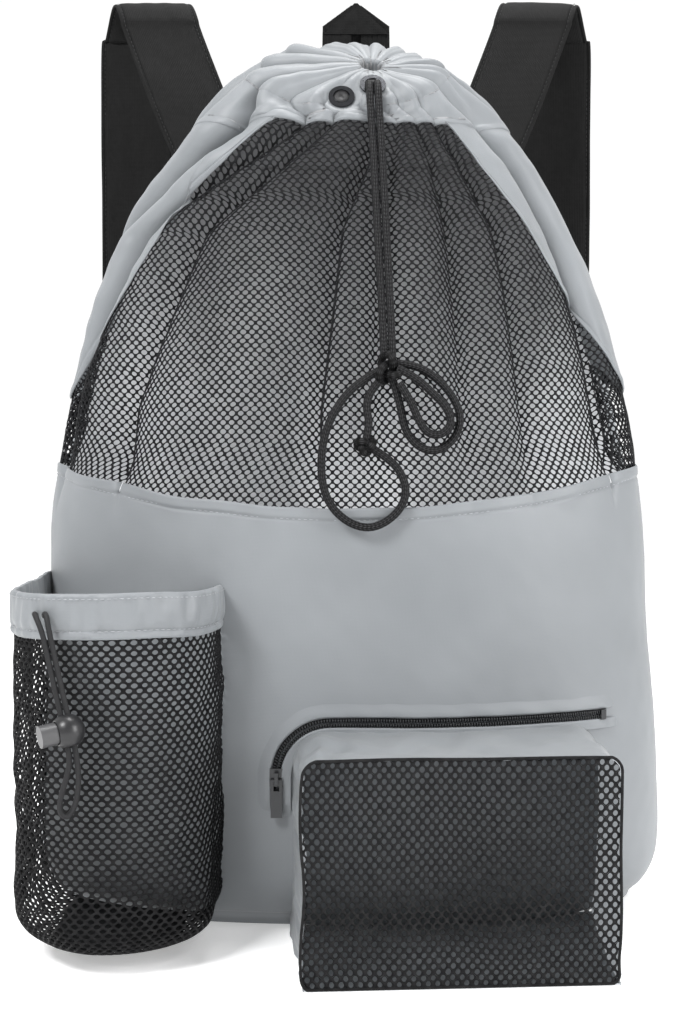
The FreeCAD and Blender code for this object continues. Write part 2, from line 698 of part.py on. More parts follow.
def build_elastic_and_lock():
    """The elastic tail and the sprung cord lock: ball, plunger and spring."""
    cord_tube("elastic_tail", ELASTIC_ROUTE, size("elastic_dia"))
    yaw = math.radians(size("lock_yaw"))
    inward = Vector(math.cos(yaw), math.sin(yaw), 0)
    inward = (inward - ELASTIC_AXIS * inward.dot(ELASTIC_AXIS)).normalize()
    side = inward.cross(ELASTIC_AXIS)
    frame = FreeCAD.Matrix(ELASTIC_AXIS.x, side.x, inward.x, 0, ELASTIC_AXIS.y, side.y, inward.y, 0,
                           ELASTIC_AXIS.z, side.z, inward.z, 0, 0, 0, 0, 1)
    place = Placement(LOCK_CENTRE, Placement(frame).Rotation)
    print("cord lock: slide axis", ELASTIC_AXIS, "plunger axis", inward)
    gap = "Sizes.lock_running_gap"
    ball = primitive("Sphere", "LockBall", Radius="Sizes.lock_ball_radius")
    mouth = primitive("Box", "LockMouth", Length="40", Width="40", Height="20")
    bind(mouth, Placement__Base__x="-20", Placement__Base__y="-20",
         Placement__Base__z="-20 - Sizes.lock_mouth_offset")
    recess = primitive("Cylinder", "LockRecess", Radius="Sizes.lock_counterbore_radius",
                       Height="20 + Sizes.lock_travel + " + gap)
    bind(recess, Placement__Base__z="-20 - Sizes.lock_mouth_offset")
    bore = primitive("Cylinder", "LockBore", Radius="Sizes.lock_shaft_radius + " + gap,
                     Height="2 * Sizes.lock_mouth_offset")
    bind(bore, Placement__Base__z="-Sizes.lock_mouth_offset")
    cross = primitive("Cylinder", "LockCross", base=Vector(-20, 0, 0), rotation=Rotation(Y_AXIS, 90),
                      Radius="Sizes.lock_cord_hole_radius", Height="40")
    hollow = boolean("MultiFuse", "LockHollow", mouth, [recess, bore, cross])
    keep(boolean("Cut", "LockBody", ball, hollow), "cord_lock_body", place)

    head = primitive("Cylinder", "PlungerHead", Radius="Sizes.lock_head_radius",
                     Height="Sizes.lock_head_length")
    bind(head, Placement__Base__z="-Sizes.lock_mouth_offset - 0.2 - Sizes.lock_head_length")
    shaft = primitive("Cylinder", "PlungerShaft", Radius="Sizes.lock_shaft_radius",
                      Height="2 * Sizes.lock_mouth_offset - Sizes.lock_travel - 0.2")
    bind(shaft, Placement__Base__z="-Sizes.lock_mouth_offset - 0.2")
    window = primitive("Box", "PlungerWindow", Length="40",
                       Width="Sizes.lock_slot_width", Height="20")
    bind(window, Placement__Base__x="-20", Placement__Base__y="-Sizes.lock_slot_width / 2",
         Placement__Base__z="-Sizes.lock_travel - Sizes.elastic_spacing / 2 - Sizes.elastic_dia / 2 - 0.2")
    blank = boolean("MultiFuse", "PlungerBlank", head, [shaft])
    keep(boolean("Cut", "Plunger", blank, window), "cord_lock_plunger", place)


build_elastic_and_lock()


# ---------------------------------------------------------------------------------------------
# Zip pocket
# ---------------------------------------------------------------------------------------------
def rounded_rectangle(x0, x1, z0, z1, radius, depth_at):
    """Closed outline in XZ with rounded upper corners; depth_at gives Y at an X."""
    quarter = radius * (1 - math.cos(math.pi / 4))

    def at(x, z):
        return Vector(x, depth_at(x), z)

    return Part.Wire([
        Part.makeLine(at(x0, z0), at(x0, z1 - radius)),
        Part.Arc(at(x0, z1 - radius), at(x0 + quarter, z1 - quarter), at(x0 + radius, z1)).toShape(),
        Part.makeLine(at(x0 + radius, z1), at(x1 - radius, z1)),
        Part.Arc(at(x1 - radius, z1), at(x1 - quarter, z1 - quarter), at(x1, z1 - radius)).toShape(),
        Part.makeLine(at(x1, z1 - radius), at(x1, z0)),
        Part.makeLine(at(x1, z0), at(x0, z0))])


def front_plane(x):
    """Y of the zip pocket's front face, which is turned a little to the right."""
    left, right = size("zip_front_left"), size("zip_front_right")
    return size("zip_front_y") + size("zip_front_setback") * (x - left) / (right - left)


ROOT_Y = -60.0  # plane inside the bag where the pocket's walls are drawn from


def pocket_form(inset, push=0.0):
    """The zip pocket as one tapering block from inside the bag to its front face."""
    root = rounded_rectangle(
        size("zip_left") + inset, size("zip_right") - inset, inset, size("zip_top") - inset,
        size("zip_corner") - inset, lambda x: ROOT_Y)
    face = rounded_rectangle(
        size("zip_front_left") + inset, size("zip_front_right") - inset, inset,
        size("zip_front_top") - inset, size("zip_front_corner") - min(inset, 4),
        lambda x: front_plane(x) + push)
    return Part.makeLoft([root, face], True, True)


def leg_end():
    """Height where the chain ends on the left, below the closed slider and the lower stop."""
    corner_start = size("zip_top") - size("zip_corner")
    return corner_start - size("slider_length") / 2 - size("stop_clearance") - size("stop_length")


def zip_line(offset):
    """The coil's line in XZ, offset outwards: leg, corner arc, then the straight top."""
    middle = size("coil_offset")
    x0, z1 = size("zip_left") - middle - offset, size("zip_top") + middle + offset
    radius = size("zip_corner") + middle + offset
    return x0, z1, radius


def zip_band(inner, outer, low, right):
    """A region that follows the zip line between two offsets, pushed through the bag's front."""
    x_out, z_out, r_out = zip_line(outer)
    x_in, z_in, r_in = zip_line(inner)
    bend_out = r_out * (1 - math.cos(math.pi / 4))
    bend_in = r_in * (1 - math.cos(math.pi / 4))
    y = -FAR

    def at(x, z):
        return Vector(x, y, z)

    edges = [
        Part.makeLine(at(x_out, low), at(x_out, z_out - r_out)),
        Part.Arc(at(x_out, z_out - r_out), at(x_out + bend_out, z_out - bend_out),
                 at(x_out + r_out, z_out)).toShape(),
        Part.makeLine(at(x_out + r_out, z_out), at(right, z_out)),
        Part.makeLine(at(right, z_out), at(right, z_in)),
        Part.makeLine(at(right, z_in), at(x_in + r_in, z_in)),
        Part.Arc(at(x_in + r_in, z_in), at(x_in + bend_in, z_in - bend_in),
                 at(x_in, z_in - r_in)).toShape(),
        Part.makeLine(at(x_in, z_in - r_in), at(x_in, low)),
        Part.makeLine(at(x_in, low), at(x_out, low))]
    return Part.Face(Part.Wire(edges)).extrude(Vector(0, FAR, 0))


def build_zip_pocket():
    """Mesh front, gusset, top strip, tapes, chain and stops."""
    mesh_thick = size("zip_mesh_thick")
    tape_top = GAP + size("tape_thick")
    tape_form = bag_form(tape_top)
    over_tape = bag_form(tape_top + GAP)
    outer = pocket_form(0)
    hollow = pocket_form(FABRIC, -1)
    beyond = 40
    corners = [(-FAR, mesh_thick), (FAR, mesh_thick), (FAR, -beyond), (-FAR, -beyond)]
    front_zone = polygon_prism([Vector(x, front_plane(x) + depth, -10) for x, depth in corners],
                               Vector(0, 0, FAR))
    walls = outer.cut(hollow).cut(front_zone)
    right_end = size("zip_right") + 3
    top_zone = block(-FAR, size("zip_front_right") - 4, -FAR, 0, leg_end(), FAR)
    feature("zip_pocket_mesh", solid_of(outer.common(front_zone)))
    feature("zip_pocket_top", solid_of(walls.common(top_zone).cut(over_tape)))
    lower = walls.cut(top_zone)
    shelf = block(-FAR, FAR, -FAR, 0, size("zip_top") - size("zip_corner"), FAR)
    feature("zip_pocket_gusset", solid_of(lower.cut(near_form).cut(over_tape.common(shelf))))
    low = leg_end()
    tapes = tape_form.cut(near_form)
    width = size("tape_width")
    feature("zip_tape_bag", solid_of(tapes.common(zip_band(0.4, width, low, right_end))))
    feature("zip_tape_pocket", solid_of(tapes.common(zip_band(-width, -0.4, low, right_end))))
    chain_top = tape_top + GAP + size("coil_thick")
    chain_form = bag_form(chain_top).cut(bag_form(tape_top + 0.05))
    half = size("coil_width") / 2
    stop = size("stop_length")
    feature("zip_chain", solid_of(chain_form.common(zip_band(-half, half, low + stop, right_end - stop))))
    stop_form = bag_form(chain_top + 0.5).cut(bag_form(tape_top + 0.05))
    band_wide = zip_band(-half - 0.6, half + 0.6, low, right_end)
    lower_end = block(-FAR, 0, -FAR, 0, 0, low + stop - 0.05)
    feature("zip_stop_lower", solid_of(stop_form.common(band_wide).common(lower_end)))
    upper_end = block(right_end - stop + 0.05, FAR, -FAR, 0, 0, FAR)
    feature("zip_stop_upper", solid_of(stop_form.common(band_wide).common(upper_end)))


build_zip_pocket()


def build_slider():
    """Slider over the chain, with a bridge for its pull; both are drawn about the slider's centre."""
    x, _, radius = zip_line(0)
    centre_z = size("zip_top") - size("zip_corner")
    arc_centre = (x + radius, centre_z)
    start, middle, end = (
        Vector(px, surface_y(px, pz, -1), pz)
        for px, pz in ((x, centre_z), (x, leg_end()), (x + radius, centre_z + radius)))
    axis = (middle - start).cross(end - start).normalize()
    if axis.y < 0:
        axis = axis * -1
    turn = Rotation(Y_AXIS, axis)
    stack = 2 * GAP + size("tape_thick") + size("coil_thick") + size("slider_gap")
    origin = start - axis * stack
    print("slider: hinge through X, Z =", arc_centre, "axis", axis, "origin", origin)
    length, width = "Sizes.slider_length", "Sizes.slider_width"
    plate_t, flange = "Sizes.slider_plate", "Sizes.slider_flange"
    plate = primitive("Box", "SliderPlate", Length=width, Width=plate_t, Height=length)
    bind(plate, Placement__Base__x="-%s / 2" % width, Placement__Base__y="-" + plate_t,
         Placement__Base__z="-%s / 2" % length)
    pieces = []
    for i, edge in enumerate(("-%s / 2" % width, "%s / 2 - %s" % (width, flange))):
        lip = primitive("Box", "SliderLip%d" % i, Length=flange,
                        Width="Sizes.coil_thick + Sizes.slider_gap - 0.3", Height=length + " - 1.6")
        bind(lip, Placement__Base__x=edge, Placement__Base__z="-(%s - 1.6) / 2" % length)
        pieces.append(lip)
    arch = primitive("Box", "SliderArch", Length="Sizes.bridge_width", Width="Sizes.bridge_height",
                     Height="Sizes.bridge_length")
    bind(arch, Placement__Base__x="-Sizes.bridge_width / 2",
         Placement__Base__y="-%s - Sizes.bridge_height" % plate_t,
         Placement__Base__z="-Sizes.bridge_length / 2")
    tunnel = primitive("Box", "SliderTunnel", Length="20",
                       Width="Sizes.bridge_height - Sizes.bridge_wall",
                       Height="Sizes.bridge_length - 2 * Sizes.bridge_wall")
    bind(tunnel, Placement__Base__x="-10",
         Placement__Base__y="-%s - Sizes.bridge_height + Sizes.bridge_wall" % plate_t,
         Placement__Base__z="-Sizes.bridge_length / 2 + Sizes.bridge_wall")
    bridge = boolean("Cut", "SliderBridge", arch, tunnel)
    keep(boolean("MultiFuse", "Slider", plate, pieces + [bridge]), "zip_slider", Placement(origin, turn))

    bar_y = size("slider_plate") + (size("bridge_height") - size("bridge_wall")) / 2
    bar_z = -size("bridge_length") / 2 + size("bridge_wall") + size("pull_bar_dia") / 2 + 0.3
    hinge = origin + turn.multVec(Vector(0, -bar_y, bar_z))
    print("pull: hinge", hinge, "axis", turn.multVec(X_AXIS))
    bar = primitive("Cylinder", "PullBar", rotation=Rotation(Y_AXIS, 90), Radius="Sizes.pull_bar_dia / 2",
                    Height="Sizes.pull_width")
    bind(bar, Placement__Base__x="-Sizes.pull_width / 2")
    leaf = primitive("Box", "PullLeaf", Length="Sizes.pull_width", Width="Sizes.pull_thick",
                     Height="Sizes.pull_length")
    bind(leaf, Placement__Base__x="-Sizes.pull_width / 2", Placement__Base__y="-Sizes.pull_thick / 2",
         Placement__Base__z="-Sizes.pull_length")
    eye = primitive("Box", "PullEye", Length="Sizes.bridge_width + 1.2", Width="20", Height="5.4")
    bind(eye, Placement__Base__x="-(Sizes.bridge_width + 1.2) / 2", Placement__Base__y="-10",
         Placement__Base__z="-5.4 - Sizes.pull_bar_dia / 2")
    blade = boolean("Cut", "PullBlade", leaf, eye)
    keep(boolean("MultiFuse", "Pull", bar, [blade]), "zip_pull", Placement(hinge, turn))


build_slider()


# ---------------------------------------------------------------------------------------------
# Check and write
# ---------------------------------------------------------------------------------------------
def check_and_write():
    """Stop on any failed object or bad shape, then write one STEP file for each sub-part."""
    doc.recompute()
    failed = [o.Name for o in doc.Objects if "Invalid" in o.State or "Error" in o.State]
    if failed:
        raise RuntimeError("failed objects: " + ", ".join(failed))
    for obj in subparts:
        if obj.Shape.isNull() or not obj.Shape.isValid() or not obj.Shape.Solids:
            raise RuntimeError("bad shape: " + obj.Label)
    os.makedirs(PARTS_FOLDER, exist_ok=True)
    for obj in subparts:
        box = obj.Shape.BoundBox
        print("%-24s solids %d volume %9.0f  x %.1f..%.1f y %.1f..%.1f z %.1f..%.1f" % (
            obj.Label, len(obj.Shape.Solids), obj.Shape.Volume, box.XMin, box.XMax, box.YMin, box.YMax,
            box.ZMin, box.ZMax))
        obj.Shape.exportStep(os.path.join(PARTS_FOLDER, obj.Label + ".step"))


check_and_write()
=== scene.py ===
"""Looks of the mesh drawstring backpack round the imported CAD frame. Metres, +Z up, front -Y."""
import json
import math

import bpy
import numpy as np
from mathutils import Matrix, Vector
from mathutils.bvhtree import BVHTree


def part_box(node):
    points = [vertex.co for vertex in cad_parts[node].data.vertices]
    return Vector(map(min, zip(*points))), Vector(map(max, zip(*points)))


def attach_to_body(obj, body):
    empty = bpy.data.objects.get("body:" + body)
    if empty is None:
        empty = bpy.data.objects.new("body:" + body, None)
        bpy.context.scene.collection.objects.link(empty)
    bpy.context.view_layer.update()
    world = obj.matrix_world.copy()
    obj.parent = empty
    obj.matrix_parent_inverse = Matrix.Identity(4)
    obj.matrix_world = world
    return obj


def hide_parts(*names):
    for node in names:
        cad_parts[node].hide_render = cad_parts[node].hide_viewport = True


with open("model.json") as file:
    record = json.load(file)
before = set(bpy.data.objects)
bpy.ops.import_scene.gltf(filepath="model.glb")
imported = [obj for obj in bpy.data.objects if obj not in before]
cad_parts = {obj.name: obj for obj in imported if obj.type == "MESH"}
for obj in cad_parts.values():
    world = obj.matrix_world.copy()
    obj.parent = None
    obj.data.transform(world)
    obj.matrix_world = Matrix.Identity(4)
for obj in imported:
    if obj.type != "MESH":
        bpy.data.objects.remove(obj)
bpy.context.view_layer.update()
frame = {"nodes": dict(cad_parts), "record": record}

MM = 0.001
TURN = 2 * math.pi


# ---- Camera, light and floor -------------------------------------------------------------------
def build_camera():
    """The photograph's view: 0.9 m in front of the bag's middle, a little above half its height."""
    camera = bpy.data.objects.new("camera", bpy.data.cameras.new("camera"))
    camera.data.lens = 50.8
    camera.data.clip_start = 0.05
    camera.location = (-0.0047, -0.9, 0.2688)
    camera.rotation_euler = (math.radians(90 - 1.845), 0, 0)
    bpy.context.collection.objects.link(camera)
    bpy.context.scene.camera = camera


def area_light(name, place, target, size, power):
    """A soft rectangular studio light aimed at target."""
    light = bpy.data.objects.new(name, bpy.data.lights.new(name, "AREA"))
    light.data.shape = "RECTANGLE"
    light.data.size, light.data.size_y = size
    light.data.energy = power
    light.location = place
    light.rotation_euler = (Vector(target) - Vector(place)).to_track_quat("-Z", "Y").to_euler()
    bpy.context.collection.objects.link(light)


def graded(tree, source, ranges):
    """A value mapped between two ranges, given as from start, from end, to start, to end."""
    grade = tree.nodes.new("ShaderNodeMapRange")
    for socket, value in zip(("From Min", "From Max", "To Min", "To Max"), ranges):
        grade.inputs[socket].default_value = value
    tree.links.new(source, grade.inputs["Value"])
    return grade.outputs["Result"]


def build_studio():
    """Surroundings white behind and dimmer in front; key from the upper left front, fill, floor."""
    world = bpy.data.worlds.new("studio")
    world.use_nodes = True
    tree = world.node_tree
    background = tree.nodes["Background"]
    background.inputs["Color"].default_value = (1, 1, 1, 1)
    split = tree.nodes.new("ShaderNodeSeparateXYZ")
    direction = tree.nodes.new("ShaderNodeTexCoord")
    tree.links.new(direction.outputs["Generated"], split.inputs["Vector"])
    brighter = tree.nodes.new("ShaderNodeMath")
    brighter.operation = "MAXIMUM"
    gradients = (("Y", (-0.5, 0.35, 0.4, 1.02)), ("Z", (0.1, 0.6, 1.02, 0.4)))
    for k, (axis, ranges) in enumerate(gradients):
        tree.links.new(graded(tree, split.outputs[axis], ranges), brighter.inputs[k])
    tree.links.new(brighter.outputs["Value"], background.inputs["Strength"])
    bpy.context.scene.world = world
    bpy.context.scene.view_settings.view_transform = "Standard"
    area_light("key", (-0.9, -1.1, 1.5), (0, 0, 0.3), (0.55, 0.55), 38)
    area_light("fill", (1.3, -0.9, 0.7), (0, 0, 0.25), (0.6, 0.9), 22)
    area_light("top", (0.1, 0.1, 1.7), (0, -0.05, 0.4), (0.5, 0.5), 15)
    half = 30.0
    pale = paint("floor", (0.86, 0.86, 0.86), 0.8)
    glow(pale, (1, 1, 1), 0.34)
    corners = [(-half, -half, 0), (half, -half, 0), (half, half, 0), (-half, half, 0)]
    add_mesh("floor", corners, [(0, 1, 2, 3)], pale)


# ---- Materials ---------------------------------------------------------------------------------
def shader_of(material):
    """The material's Principled shader."""
    return material.node_tree.nodes["Principled BSDF"]


def paint(name, colour, roughness, sheen=0.0, metallic=0.0, specular=0.5):
    """A material with one Principled shader and plain values, ready for a pattern."""
    material = bpy.data.materials.new(name)
    material.use_nodes = True
    values = {"Base Color": (*colour, 1), "Roughness": roughness, "Sheen Weight": sheen,
              "Specular IOR Level": specular, "Metallic": metallic}
    for socket, value in values.items():
        shader_of(material).inputs[socket].default_value = value
    return material


def glow(material, colour, strength):
    """Even light from a surface, for light that comes through it or bounces off it."""
    shader_of(material).inputs["Emission Color"].default_value = (*colour, 1)
    shader_of(material).inputs["Emission Strength"].default_value = strength


def node(material, kind, **inputs):
    """A shader node with its sockets set."""
    new = material.node_tree.nodes.new(kind)
    for key, value in inputs.items():
        new.inputs[key].default_value = value
    return new


def join(material, source, target):
    """Link two sockets."""
    material.node_tree.links.new(source, target)


def coordinates(material, kind):
    """The texture coordinates of one kind: Object in metres, or UV."""
    return node(material, "ShaderNodeTexCoord").outputs[kind]


def noise(material, scale, detail=3.0, vector=None, **inputs):
    """A soft noise, over the object's own coordinates unless others are given."""
    cloud = node(material, "ShaderNodeTexNoise", Scale=scale, Detail=detail, **inputs)
    join(material, vector or coordinates(material, "Object"), cloud.inputs["Vector"])
    return cloud.outputs["Fac"]


def ramp(material, source, target, stops):
    """A colour ramp from a value to one of the shader's sockets; stops are place and colour."""
    blend = node(material, "ShaderNodeValToRGB")
    for element, (place, colour) in zip(blend.color_ramp.elements, stops):
        element.position, element.color = place, (*colour, 1)
    join(material, source, blend.inputs["Fac"])
    join(material, blend.outputs["Color"], shader_of(material).inputs[target])


def mottled(material, dark, light, scale):
    """Base colour that drifts between two shades with a soft noise."""
    ramp(material, noise(material, scale), "Base Color", ((0.35, dark), (0.65, light)))


def bump(material, height, strength, distance):
    """Add surface relief from a height socket, on top of any relief already there."""
    relief = node(material, "ShaderNodeBump", Strength=strength, Distance=distance)
    join(material, height, relief.inputs["Height"])
    normal = shader_of(material).inputs["Normal"]
    if normal.is_linked:
        join(material, normal.links[0].from_socket, relief.inputs["Normal"])
    join(material, relief.outputs["Normal"], normal)


def woven(material, scales, strength, distance):
    """Relief of a plain weave on the flat coordinates: bands across times bands along."""
    crossed = node(material, "ShaderNodeMath")
    crossed.operation = "MULTIPLY"
    vector = coordinates(material, "UV")
    for k, (axis, scale) in enumerate(zip("XY", scales)):
        bands = node(material, "ShaderNodeTexWave", Scale=scale)
        bands.bands_direction = axis
        join(material, vector, bands.inputs["Vector"])
        join(material, bands.outputs["Fac"], crossed.inputs[k])
    bump(material, crossed.outputs[0], strength, distance)


def smooth_fabric():
    """Close woven polyester: faint shade drift, weave too fine to count, small slack creases."""
    dark, light = (0.146, 0.156, 0.165), (0.176, 0.187, 0.197)
    material = paint("grey_fabric", light, 0.52, sheen=0.1, specular=0.4)
    mottled(material, dark, light, 9.0)
    woven(material, (420.0, 420.0), 0.12, 0.0002)
    bump(material, noise(material, 14.0, Roughness=0.5, Distortion=0.6), 0.14, 0.004)
    return material


def inside_with_painted_light():
    """The cloth's pale inner face with painted light: a glow for daylight through it, least where it is
    gathered, a base colour painted darker towards the top as painted shade, and noise that paints the
    shade of soft drapes.
    """
    material = paint("inside_with_painted_light", (0.6, 0.61, 0.62), 0.6, specular=0.3)
    split = node(material, "ShaderNodeSeparateXYZ")
    join(material, coordinates(material, "Object"), split.inputs["Vector"])
    stretch = node(material, "ShaderNodeMapping", Scale=(1.0, 0.4, 0.3))
    join(material, coordinates(material, "Object"), stretch.inputs["Vector"])
    # painted shade: stretched noise that dims the glow in soft upright streaks, for the shade of the
    # cloth's own drapes
    painted_drape_shade = noise(material, 13.0, 1.5, stretch.outputs["Vector"], Roughness=0.4)
    shade = graded(material.node_tree, painted_drape_shade, (0.38, 0.62, 0.12, 1.25))
    join(material, shade, shader_of(material).inputs["Emission Strength"])
    # painted shade by height: base colour and glow go from pale and lit low down to dark near the
    # gathered top
    for socket, low, high in (("Base Color", 0.62, 0.22), ("Emission Color", 0.24, 0.01)):
        stops = [(z, (grey, grey * 1.01, grey * 1.03)) for z, grey in ((0.31, low), (0.45, high))]
        ramp(material, split.outputs["Z"], socket, stops)
    return material


def knit(name, colour, tip):
    """Knitted mesh yarn: dark, with the run of the yarn along the bars."""
    material = paint(name, colour, 0.5, specular=0.08)
    mottled(material, colour, tip, 260.0)
    bump(material, noise(material, 1500.0, 2.0), 0.35, 0.0004)
    return material


def braided_cord():
    """Black cord with painted highlights on its stitches' crests and painted shade in their gaps; the
    tube carries its own relief.
    """
    cord = paint("black_cord", (0.012, 0.012, 0.013), 0.6, specular=0.12)
    relief = node(cord, "ShaderNodeAttribute")
    relief.attribute_name = "relief"
    # painted highlight and shade: colour runs from near black in the gaps to lighter on the crests
    stops = ((0.4, (0.001, 0.001, 0.001)), (1.0, (0.045, 0.045, 0.048)))
    ramp(cord, relief.outputs["Fac"], "Base Color", stops)
    return cord


def black_band(name, grey, roughness):
    """Black webbing or tape with its weave."""
    material = paint("black_" + name, (grey, grey, grey * 1.04), roughness, specular=0.08)
    mottled(material, (grey * 0.85,) * 3, (grey * 1.15,) * 3, 300.0)
    woven(material, (260.0, 330.0), 0.5, 0.0004)
    return material


def pocket_lining():
    """The zip pocket's inside, lit through its cloth."""
    pocket = paint("pocket_inside", (0.3, 0.31, 0.325), 0.55, specular=0.3)
    mottled(pocket, (0.26, 0.27, 0.28), (0.34, 0.35, 0.365), 20.0)
    # painted light: a glow that stands in for daylight through the pocket's cloth
    glow(pocket, (0.9, 0.95, 1), 0.24)
    return pocket


materials = {
    "fabric": smooth_fabric(),
    "lining": inside_with_painted_light(),
    "mesh": knit("black_mesh", (0.006, 0.006, 0.007), (0.014, 0.0145, 0.0155)),
    "thread": paint("grey_thread", (0.27, 0.28, 0.29), 0.6),
    "cord": braided_cord(),
    "elastic": paint("black_elastic", (0.014, 0.014, 0.015), 0.6, specular=0.2),
    "strap": black_band("strap", 0.0065, 0.62),
    "webbing": black_band("webbing", 0.009, 0.6),
    "tape": black_band("tape", 0.006, 0.65),
    "bottle_mesh": knit("black_bottle_mesh", (0.004, 0.004, 0.0045), (0.01, 0.01, 0.0105)),
    "zip_mesh": knit("black_zip_mesh", (0.006, 0.006, 0.0065), (0.013, 0.013, 0.0135)),
    "pocket_inside": pocket_lining(),
    "black_thread": paint("black_thread", (0.02, 0.02, 0.021), 0.5, specular=0.25),
    "gunmetal": paint("gunmetal", (0.07, 0.072, 0.078), 0.22, metallic=1.0),
    "plastic": paint("black_plastic", (0.014, 0.014, 0.015), 0.34, specular=0.4),
    "plunger": paint("grey_plastic", (0.05, 0.05, 0.052), 0.4),
    "nylon": paint("black_nylon", (0.016, 0.017, 0.019), 0.38, specular=0.35),
    "zip_metal": paint("black_metal", (0.02, 0.021, 0.023), 0.32, metallic=0.3),
}
for hard in ("gunmetal", "plastic", "plunger", "zip_metal"):
    bump(materials[hard], noise(materials[hard], 900.0), 0.08, 0.0003)


# ---- Array and mesh helpers --------------------------------------------------------------------
def spread(*parts):
    """Arrays broadcast together and stacked as the coordinates of points."""
    return np.stack(np.broadcast_arrays(*parts), -1)


def unit(vectors):
    """Vectors scaled to length 1."""
    return vectors / np.maximum(np.linalg.norm(vectors, axis=-1, keepdims=True), 1e-12)


def bell(x, width, power=2):
    """1 at 0, falling to nothing past width; a higher power has a flatter top."""
    return np.exp(-(x / width) ** power)


def smoothstep(x):
    """Soft step from 0 to 1."""
    x = np.clip(x, 0, 1)
    return x * x * (3 - 2 * x)


def soft_noise(points, wavelength, seed, terms=28):
    """A smooth random field of about unit size over an array of points."""
    rng = np.random.default_rng(seed)
    waves = rng.normal(size=(terms, 3))
    length = wavelength * np.linalg.norm(waves, axis=1)
    waves *= (TURN * rng.uniform(0.6, 1.5, terms) / length)[:, None]
    phases = rng.uniform(0, TURN, terms)
    total = np.zeros(points.shape[:-1])
    for direction, phase in zip(waves, phases):
        total += np.sin(points @ direction + phase)
    return total / math.sqrt(terms / 2)


def blur(grid, passes, wrap_columns):
    """Repeated three-point smoothing down a grid's columns, and round its rows if they wrap."""
    for _ in range(passes):
        if wrap_columns:
            grid = (np.roll(grid, 1, 1) + 2 * grid + np.roll(grid, -1, 1)) / 4
        edge = np.concatenate([grid[:1], grid, grid[-1:]])
        grid = (edge[:-2] + 2 * edge[1:-1] + edge[2:]) / 4
    return grid


def bilinear(grid, row, column, wrap):
    """Values of a grid at fractional rows and columns."""
    rows, columns = grid.shape[:2]
    row = np.clip(row, 0, rows - 1.000001)
    column = column % columns if wrap else np.clip(column, 0, columns - 1.000001)
    r0, c0 = row.astype(int), column.astype(int)
    r1 = np.minimum(r0 + 1, rows - 1)
    c1 = (c0 + 1) % columns if wrap else np.minimum(c0 + 1, columns - 1)
    fr, fc = row - r0, column - c0
    if grid.ndim == 3:
        fr, fc = fr[..., None], fc[..., None]
    low = grid[r0, c0] * (1 - fc) + grid[r0, c1] * fc
    high = grid[r1, c0] * (1 - fc) + grid[r1, c1] * fc
    return low * (1 - fr) + high * fr


def grid_normals(grid, wrap):
    """Unit normals of a grid of points, from columns crossed with rows."""
    along = (np.roll(grid, -1, 1) - np.roll(grid, 1, 1)) if wrap else np.gradient(grid, axis=1)
    return unit(np.cross(along, np.gradient(grid, axis=0)))


def grid_faces(rows, columns, wrap=False):
    """Quads of a grid of points stored row by row; wrap joins the last column to the first."""
    row = np.arange(rows - 1)[:, None] * columns
    step = np.arange(columns if wrap else columns - 1)[None]
    after = (step + 1) % columns
    quads = np.stack([row + step, row + after, row + columns + after, row + columns + step], -1)
    return quads.reshape(-1, 4)


def add_mesh(name, points, faces, material, uv=None, inside=None):
    """A smooth-shaded mesh; faces are an array, or a list where their corners differ in number."""
    mesh = bpy.data.meshes.new(name)
    faces = faces if isinstance(faces, list) else faces.tolist()
    mesh.from_pydata(np.asarray(points, float).reshape(-1, 3).tolist(), [], faces)
    mesh.polygons.foreach_set("use_smooth", np.ones(len(mesh.polygons), bool))
    mesh.materials.append(material)
    if inside is not None:
        mesh.materials.append(inside)
    if uv is not None:
        layer = mesh.uv_layers.new(name="flat")
        loops = np.empty(len(mesh.loops), int)
        mesh.loops.foreach_get("vertex_index", loops)
        layer.data.foreach_set("uv", np.asarray(uv, float).reshape(-1, 2)[loops].ravel())
    mesh.update()
    thing = bpy.data.objects.new(name, mesh)
    bpy.context.collection.objects.link(thing)
    return thing


def attach(piece, slot, *nodes):
    """Put a finished piece on the bag and hide the CAD nodes it stands for; slot is not used."""
    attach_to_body(piece, "bag")
    if nodes:
        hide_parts(*nodes)


def sheet(name, grid, material, thick, slot, *nodes, inside=None, uv=None, wrap=False, offset=-1):
    """A cloth sheet from a grid of points, thickened towards the back of its faces, on the bag."""
    inner = None if inside is None else materials[inside]
    cloth = add_mesh(name, grid, grid_faces(*grid.shape[:2], wrap), materials[material], uv, inner)
    solid = cloth.modifiers.new("thickness", "SOLIDIFY")
    solid.thickness, solid.offset = thick, offset
    if inside is not None:
        solid.material_offset = 1
    attach(cloth, slot, *nodes)


def grey_cloth(name, grid, thick, *nodes, **facts):
    """A sheet of the bag's grey fabric."""
    sheet(name, grid, "fabric", thick, "fabric_grey", *nodes, **facts)


# ---- The filled bag as one surface: level rings that lean towards the mouth --------------------
OPENINGS = {o["name"]: np.array(o["box_m"]) for o in frame["record"]["physics"]["openings"]}
MOUTH = OPENINGS["gathered_mouth"].mean(0)
MOUTH_TILT = math.radians(38)
MOUTH_AXIS = np.array([0, -math.sin(MOUTH_TILT), math.cos(MOUTH_TILT)])
FOOT_LEVEL = 3 * MM
SEAM_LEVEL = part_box("drawcord_channel")[0][2]
TILT_LEVEL = MOUTH[2] - 3 * MM
RIM_LEVEL, RIM_RADIUS, RIM_RISE, RIM_SHIFT = TILT_LEVEL + 16 * MM, 8.5 * MM, 4.5 * MM, 9 * MM
STRAIGHTEN_BELOW = 0.40
PANELS = ("base_panel", "front_panel", "mesh_panel", "back_panel", "drawcord_channel")
SIDE_RINGS, DOME_RINGS, SPOKES = 450, 90, 1440
RINGS = SIDE_RINGS + DOME_RINGS
LOOP_X = 6 * MM                     # middle of the hang loop
PATCH_Z = (418, 450)                # strap patch, millimetres


